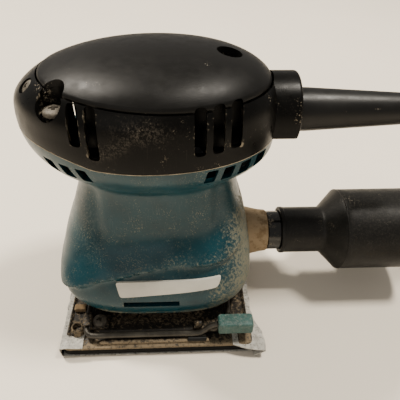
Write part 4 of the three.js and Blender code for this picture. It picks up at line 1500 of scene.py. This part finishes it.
@dataclass
class DustFittings:
    """The dust outlet, the pipe in it, and the hose adapter on the pipe."""

    height: float = 36.5
    sides: int = 72

    def lathed(self, profile: Sequence[Point]) -> Draft:
        """Turn a profile about the outlet's axis."""
        return Draft().lathe(profile, self.sides, Axis.X, (0, 0, self.height))

    def outlet(self) -> None:
        """The caked nozzle, which flares into the housing."""
        flare = [(14.6, 43.5), (14.5, 47.5), (13.9, 51), (13.0, 54.5), (12.3, 58), (12.0, 61.2), (11.6, 61.8)]
        profile = [(10.6, 43.5), *flare, (10.6, 61.8), (10.6, 43.5)]
        nozzle = self.lathed(profile).painted("dust", lambda co: 0.3 + 0.3 * smooth_step(60, 50, co.x))
        nozzle.piece("outlet_nozzle", Body.HOUSING, CAKED_DUST, ["dust_outlet"])

    def spout(self) -> None:
        """The glossy pipe."""
        profile = [(8.6, 44), (10.3, 44), (10.3, 62.1), (10.9, 62.1), (11.2, 62.5), (11.2, 75), (10.9, 89.4),
                   (10.5, 90), (8.6, 90), (8.6, 44)]
        pipe = self.lathed(profile).painted("dust", lambda co: 0.45 * smooth_step(64.5, 62.5, co.x))
        pipe.piece("dust_pipe", Body.HOUSING, GLOSS_PIPE, ["dust_spout"])

    def adapter(self) -> None:
        """The stepped rubber socket, with its end bead and the ring where cone meets sleeve."""
        outside = [(12.3, 69.5), (13.2, 69.6), (13.5, 70.1), (13.5, 71.6), (13.2, 71.9), (13.2, 93.0),
                   (13.6, 93.8), (22.7, 102.6), (23.0, 103.0), (23.3, 103.1), (23.3, 103.5), (23.0, 103.8),
                   (23.2, 104.2), (23.3, 145.4), (22.9, 145.8), (23.3, 146.2), (23.3, 149.5), (22.8, 150)]
        inside = [(21.5, 150), (21.2, 149.6), (21.2, 104.4), (11.5, 94.8), (11.5, 69.9), (12.3, 69.5)]
        sleeve = self.lathed([*outside, *inside])
        bmesh.ops.subdivide_edges(sleeve.bm, edges=[e for e in sleeve.bm.edges if e.calc_length() > 12], cuts=9)
        widest = max(radius for radius, _ in outside)
        sleeve.painted(
            "scuff", lambda co: 0.30 + 0.45 * smooth_step(101, 104, co.x) * abs(co.z - self.height) / widest)
        sleeve.piece("rubber_adapter", Body.ADAPTER, HOSE_RUBBER, ["hose_adapter"], 32)

    def build(self) -> None:
        """All three."""
        self.outlet()
        self.spout()
        self.adapter()


# ---- pad -------------------------------------------------------------------------------------


@dataclass
class Pad:
    """The pressed plate, the sponge under it, the abrasive sheet round both, and their small parts."""

    length: float = 101.0
    width: float = 112.0
    paper_top: float = 7.6
    paper_thickness: float = 0.5
    plate: tuple[float, float] = (5.2, 6.9)
    deck: float = 9.4
    paper_rows: int = 52

    def base_plate(self) -> None:
        """Flange, raised deck with a step round it, long ribs and the bearing's hub."""
        flange = Draft().slab(oblong(self.length - 0.6, self.width, 4), *self.plate).bevelled(0.5, 2)
        deck = Draft().slab(oblong(72, 97, 7), self.plate[0] + 0.2, self.deck).bevelled(1.6, 4, 60)
        tray = Draft().slab(oblong(40, 80, 5), self.deck - 1.6, 30).met(
            Join.CUT, Draft().lathe([(0, 0), (20, 0), (20, 40), (0, 40)], 64))
        deck.met(Join.CUT, tray)
        seat = [(13.3, 10), (16.6, 10), (17, 10.4), (17, 18.2), (16.6, 18.6), (13.7, 18.6), (13.3, 18.2), (13.3, 10)]
        foot = [(13.3, 7.6), (19.6, 7.6), (18, 9.2), (17, 11), (13.3, 11), (13.3, 7.6)]
        hub = Draft().lathe(seat, 64).met(Join.ADD, Draft().lathe(foot, 64))
        whole = flange.met(Join.ADD, deck, hub)
        for side in (-1, 1):
            rib = Draft().slab(oblong(58, 2.6, 1.2, -2, side * 53), self.plate[1] - 0.5, self.plate[1] + 1.9)
            whole.met(Join.ADD, rib.bevelled(0.8, 3, 60))
        whole.painted("dust", self.dusty_plate)
        whole.piece("pressed_plate", Body.PAD, PLATE_METAL, ["base_plate"], 30)

    def dusty_plate(self, co: Vector) -> float:
        """Dust lies thick along both long edges and thinner on the deck.

        Args:
            co: a vertex's place.

        Returns:
            The amount of dust.
        """
        edge = 0.50 * smooth_step(50.5, 54.5, abs(co.y))
        ends = 0.22 * smooth_step(30, 42, abs(co.x))
        deck = 0.32 * smooth_step(48, 42, abs(co.y)) * smooth_step(36, 24, abs(co.x))
        return max(edge, ends, deck) + 0.10

    def sponge(self) -> None:
        """The sponge layer under the plate."""
        Draft().slab(oblong(self.length - 0.6, self.width - 0.6, 4), 0.95, 4.95).bevelled(0.5, 2).piece(
            "sponge_layer", Body.PAD, SPONGE, ["pad_cushion"])

    def sheet_line(self) -> list[tuple]:
        """The sheet's middle line in side view, from one folded end round the pad to the other.

        Returns:
            Points on it.
        """
        end, low, high, flap = self.length / 2 + 0.55, 0.3, self.paper_top - 0.1, 39.5
        corners = [(-flap, high), (-end, high), (-end, low), (end, low), (end, high), (flap, high)]
        rounded = filleted(corners, 0.9, 4, False)
        line = [rounded[0]]
        for start, stop in zip(rounded, rounded[1:]):
            count = max(1, round(math.dist(start, stop) / 2.2))
            line += [(start[0] + (stop[0] - start[0]) * k / count, start[1] + (stop[1] - start[1]) * k / count)
                     for k in range(1, count + 1)]
        return line

    def crumpled(self, co: Vector) -> Vector:
        """Wrinkle what is folded up the ends, and turn the near rear corner outwards.

        Args:
            co: a vertex's place.

        Returns:
            Its new place.
        """
        loose = smooth_step(1.2, 5, co.z)
        if not loose:
            return co
        fold = noise.noise(Vector((co.x * 0.12, co.y * 0.16, 3.1)))
        fine = noise.noise(Vector((co.x * 0.5, co.y * 0.42, 7.7)))
        side = math.copysign(1, co.x)
        torn = smooth_step(-36, -50, co.y) * smooth_step(38, 50, co.x)
        out = side * (0.8 * fold + 0.35 * fine + 0.5) * loose + 5.2 * torn * smooth_step(2, 7, co.z)
        rise = (0.55 * fold + 0.45 * fine + 0.35) * loose * smooth_step(41, 47, abs(co.x)) - 2.0 * torn * loose
        slide = -3.2 * torn * smooth_step(-50, -56, co.y)
        return co + Vector((out * smooth_step(43, 50, abs(co.x)), slide, max(rise, -2.0)))

    def sheet(self) -> None:
        """The abrasive sheet, one thin closed sheet with its grit side out."""
        line, half = self.sheet_line(), self.width / 2 + 0.2
        draft = Draft()
        row = [draft.bm.verts.new((x, -half, z)) for x, z in line]
        edges = [draft.bm.edges.new(pair) for pair in zip(row, row[1:])]
        step = 2 * half / self.paper_rows
        for _ in range(self.paper_rows):
            grown = bmesh.ops.extrude_edge_only(draft.bm, edges=edges)["geom"]
            edges = [g for g in grown if isinstance(g, bmesh.types.BMEdge)]
            ends = [g for g in grown if isinstance(g, bmesh.types.BMVert)]
            bmesh.ops.translate(draft.bm, verts=ends, vec=(0, step, 0))
        draft.shaped(self.crumpled)
        bmesh.ops.solidify(draft.bm, geom=list(draft.bm.faces), thickness=self.paper_thickness)
        sheet = draft.piece("abrasive_sheet", Body.PAD, ABRASIVE_BACK, ["sanding_sheet"], 50)
        sheet.data.materials.append(ABRASIVE_GRIT.material())
        for face in sheet.data.polygons:
            flat_under = face.normal.z < -0.2 or (abs(face.normal.x) > 0.7 and face.center.z < 3.4 * METRE)
            face.material_index = 1 if flat_under else 0

    def strips(self) -> None:
        """The sprung strip that presses each folded end, with its turned-up edge."""
        outline = [(-48.4, 8.3), (-46.9, 8.3), (-40.4, 8.3), (-40.2, 9.1), (-46.6, 9.1), (-47.6, 10.2),
                   (-48.4, 10.2)]
        for name, side in (("front", Side.NEAR), ("rear", Side.FAR)):
            strip = Draft().slab(filleted(outline, 0.3, 2), -48.5, 48.5, True).turned(side.turn)
            strip.painted("dust", lambda co: 0.25).piece(
                f"clamp_strip_{name}_fine", Body.PAD, PLATE_METAL, [f"clamp_strip_{name}"])

    def trimmings(self) -> None:
        """The eyelet, the small block behind it, the flange's small screw and the rib's rubber bush."""
        for side in Side:
            label = side.label
            ring = [(1.9, 8), (2.3, 11.3), (2.7, 11.7), (3.2, 11.3), (3.6, 8.6), (4.2, 8), (1.9, 8)]
            eyelet = Draft().lathe(ring, 40, centre=(-43.2, -45.6, 0)).turned(side.turn)
            eyelet.painted("dust", lambda co: 0.45).piece(f"{label}_eyelet", Body.PAD, PLATE_METAL)
            block = Draft().box((-46.6, -34.8, 9.2), (-40.4, -31.2, 12.2)).bevelled(0.6, 3).turned(side.turn)
            block.piece(f"{label}_stop_block", Body.PAD, CAKED_DUST)
            screw = cross_head_screw(2.7, 1.8, 1.3).turned(Matrix.Translation((29.4, -47.6, 10.95)))
            screw.turned(side.turn).piece(f"{label}_hook_screw", Body.PAD, SCREW_STEEL)
            bush = [(0, 15.5), (1.15, 15.5), (1.45, 15.9), (1.45, 25.1), (1.15, 25.5), (0, 25.5)]
            Draft().lathe(bush, 24, Axis.X, (0, -53.0, 8.6)).turned(side.turn).piece(
                f"{label}_edge_bush", Body.PAD, HOSE_RUBBER)

    def build(self) -> None:
        """Everything that orbits, apart from the levers."""
        self.base_plate()
        self.sponge()
        self.strips()
        self.trimmings()
        self.sheet()


@dataclass
class ClampLever:
    """One wire lever with its grip, and the bracket, screw and hook that hold it to the plate."""

    side: Side
    radius: float = 1.5
    axle_x: float = -38.2
    axle_z: float = 11.2
    arm_y: float = -51.2
    bracket_screw: tuple[float, float] = (-31.4, -42.6)

    @property
    def body(self) -> Body:
        """What the lever moves with."""
        return Body.NEAR_LEVER if self.side is Side.NEAR else Body.FAR_LEVER

    def named(self, words: str) -> str:
        """The name of a piece on this side."""
        return f"{self.side.label}_{words}"

    def wire(self) -> None:
        """The bent spring wire."""
        x, y, z = self.axle_x, self.arm_y, self.axle_z
        bend = [(x + 4.5 * (1 - math.cos(t)), y + 4.5 * (1 - math.sin(t)), z)
                for t in np.linspace(0, math.pi / 2, 5)]
        rise = [(21, y, z), (24, y + 0.3, z + 1.4), (27, y + 0.7, z + 4.3), (30, y + 0.9, z + 5.7),
                (33, y + 1, z + 6), (45, y + 1, z + 6)]
        route = [(x, 40, z), (x, 20, z), (x, 0, z), (x, -20, z), (x, -38, z), *bend,
                 (-24, y, z), (-12, y, z), (0, y, z), (12, y, z), *rise]
        Draft().rod(route, self.radius).turned(self.side.turn).piece(
            self.named("spring_wire"), self.body, WIRE_STEEL, [self.named("lever_wire")])

    def grip(self) -> None:
        """The moulded grip on the wire's end."""
        outline = oblong(18.2, 7.8, 1.5, 40.6, 17.2)
        body = Draft().slab(outline, -54.0, -46.4, True).bevelled(1.0, 4, 60)
        hole = [(0, 30), (self.radius + 0.1, 30), (self.radius + 0.1, 45.6), (0, 45.6)]
        body.met(Join.CUT, Draft().lathe(hole, 24, Axis.X, (0, self.arm_y + 1, self.axle_z + 6)))

        def worn(co: Vector) -> float:
            """The edges are rubbed."""
            edge = min(49.7 - co.x, co.x - 31.5, co.y + 54.0, 21.1 - co.z)
            return 0.5 * smooth_step(1.4, 0.2, edge)

        body.painted("dust", lambda co: 0.12).painted("scuff", worn)
        body.turned(self.side.turn).piece(
            self.named("lever_handle"), self.body, LEVER_GREEN, [self.named("lever_grip")])

    def bracket(self) -> None:
        """The clip with a lip over the wire's axle, and the large screw on it."""
        outline = [(-26.6, 9.7), (-26.6, 10.9), (-35.1, 10.9), (-35.3, 13.6), (-36.2, 14.4), (-39.6, 14.4),
                   (-39.6, 13.2), (-36.8, 13.2), (-36.2, 12.6), (-36.2, 9.7)]
        clip = Draft().slab(filleted(outline, 0.5, 3), -46.6, -38.4, True).bevelled(0.3, 2, 60)
        clip.painted("dust", lambda co: 0.3).turned(self.side.turn).piece(
            self.named("wire_clip"), Body.PAD, PLATE_METAL, [self.named("lever_bracket")])
        x, y = self.bracket_screw
        place = Matrix.Translation((x, y, 11.2)) @ Matrix.Rotation(math.radians(24), 4, "Z")
        cross_head_screw(3.9, 3.0, 1.6).turned(self.side.turn @ place).piece(
            self.named("clip_screw"), Body.PAD, SCREW_STEEL, [self.named("bracket_screw")])

    def hook(self) -> None:
        """The upright tab that the arm springs behind."""
        foot = Draft().slab(oblong(11.4, 6.7, 1.0, 24.7, -45.75), 9.7, 10.9)
        tab = filleted([(19.6, 10.2), (23.2, 10.2), (23.2, 17.2), (19.6, 17.2)], 1.0, 4)
        foot.met(Join.ADD, Draft().slab(tab, -49.1, -47.9, True)).bevelled(0.25, 2, 60)
        foot.painted("dust", lambda co: 0.3).turned(self.side.turn).piece(
            self.named("wire_hook"), Body.PAD, PLATE_METAL, [self.named("lever_hook")])

    def build(self) -> None:
        """The lever and what holds it."""
        self.wire()
        self.grip()
        self.bracket()
        self.hook()


@dataclass
class Underworks:
    """The feet and the switch, and the finishes of what the casings hide."""

    foot_x: float = 27.5
    foot_y: float = 31.0

    def feet(self) -> None:
        """The four waisted rubber feet."""
        outline = [(0, 9.7), (6.6, 9.7), (6.6, 13.6), (4.6, 17.8), (4.6, 27.7), (6.6, 31.8), (6.6, 35.7),
                   (0, 35.7)]
        profile = filleted(outline, 1.6, 4, False)
        for end, x in (("front", -self.foot_x), ("rear", self.foot_x)):
            for side, y in (("near", -self.foot_y), ("far", self.foot_y)):
                Draft().lathe(profile, 40, centre=(x, y, 0)).piece(
                    f"rubber_foot_{end}_{side}", Body.HOUSING, HOSE_RUBBER, [f"foot_{end}_{side}"])

    def rocker(self) -> None:
        """The switch's rocker, with ridges on the end that stands out."""
        face = [(-10.2, 41.6), (0, 42.9), (10.2, 43.8)]
        heel = [(9.8, 37), (3, 33.2), (-3, 33.2), (-9.8, 37)]
        shape = Draft().slab([*face, *heel], 113.7, 125.3).bevelled(0.5, 3, 25)
        for i in range(4):
            x = 3.4 + 1.6 * i
            shape.met(Join.CUT, Draft().box((x, 42.7 + 0.1 * i, 115), (x + 0.6, 46, 124)))
        shape.piece("rocker_key", Body.ROCKER, BLACK_CASING, ["switch_rocker"], 30)

    def hidden(self) -> None:
        """Finish the CAD pieces of the motor, which show only through the vents and from below."""
        finishes = {
            COPPER_WIRE: ("field_coil_front", "field_coil_rear", "armature_winding", "commutator"),
            LAMINATION: ("stator_core", "armature_core"),
            GROUND_STEEL: ("motor_shaft", "upper_bearing", "lower_bearing", "pad_bearing"),
            CAST_WEIGHT: ("counterweight",),
            BRASS_BRIGHT: ("brush_holder_near", "brush_holder_far"),
            CARBON_BLOCK: ("carbon_brush_near", "carbon_brush_far"),
            BLACK_CASING: ("cooling_fan", "switch_body", "cord_clamp"),
            PLATE_METAL: ("bearing_plate",),
        }
        for finish, names in finishes.items():
            for name in names:
                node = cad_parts[name]
                for slot in node.material_slots:
                    slot.material = finish.material()
        LOG.info("finished %d hidden pieces", sum(len(names) for names in finishes.values()))

    def build(self) -> None:
        """All of them."""
        self.feet()
        self.rocker()
        self.hidden()


def main() -> None:
    """Build the sander in order, from the view and the lead inwards."""
    logging.basicConfig(level=logging.INFO, format="%(name)s: %(message)s")
    studio = Studio()
    studio.camera()
    MainsLead().build()
    studio.floor()
    studio.light()
    casings = Casings()
    assemblies = (casings, CoverScrews(casings), Badge(), DustFittings(), Pad(),
                  ClampLever(Side.NEAR), ClampLever(Side.FAR), Underworks())
    for assembly in assemblies:
        assembly.build()


if __name__ == "__main__":
    main()
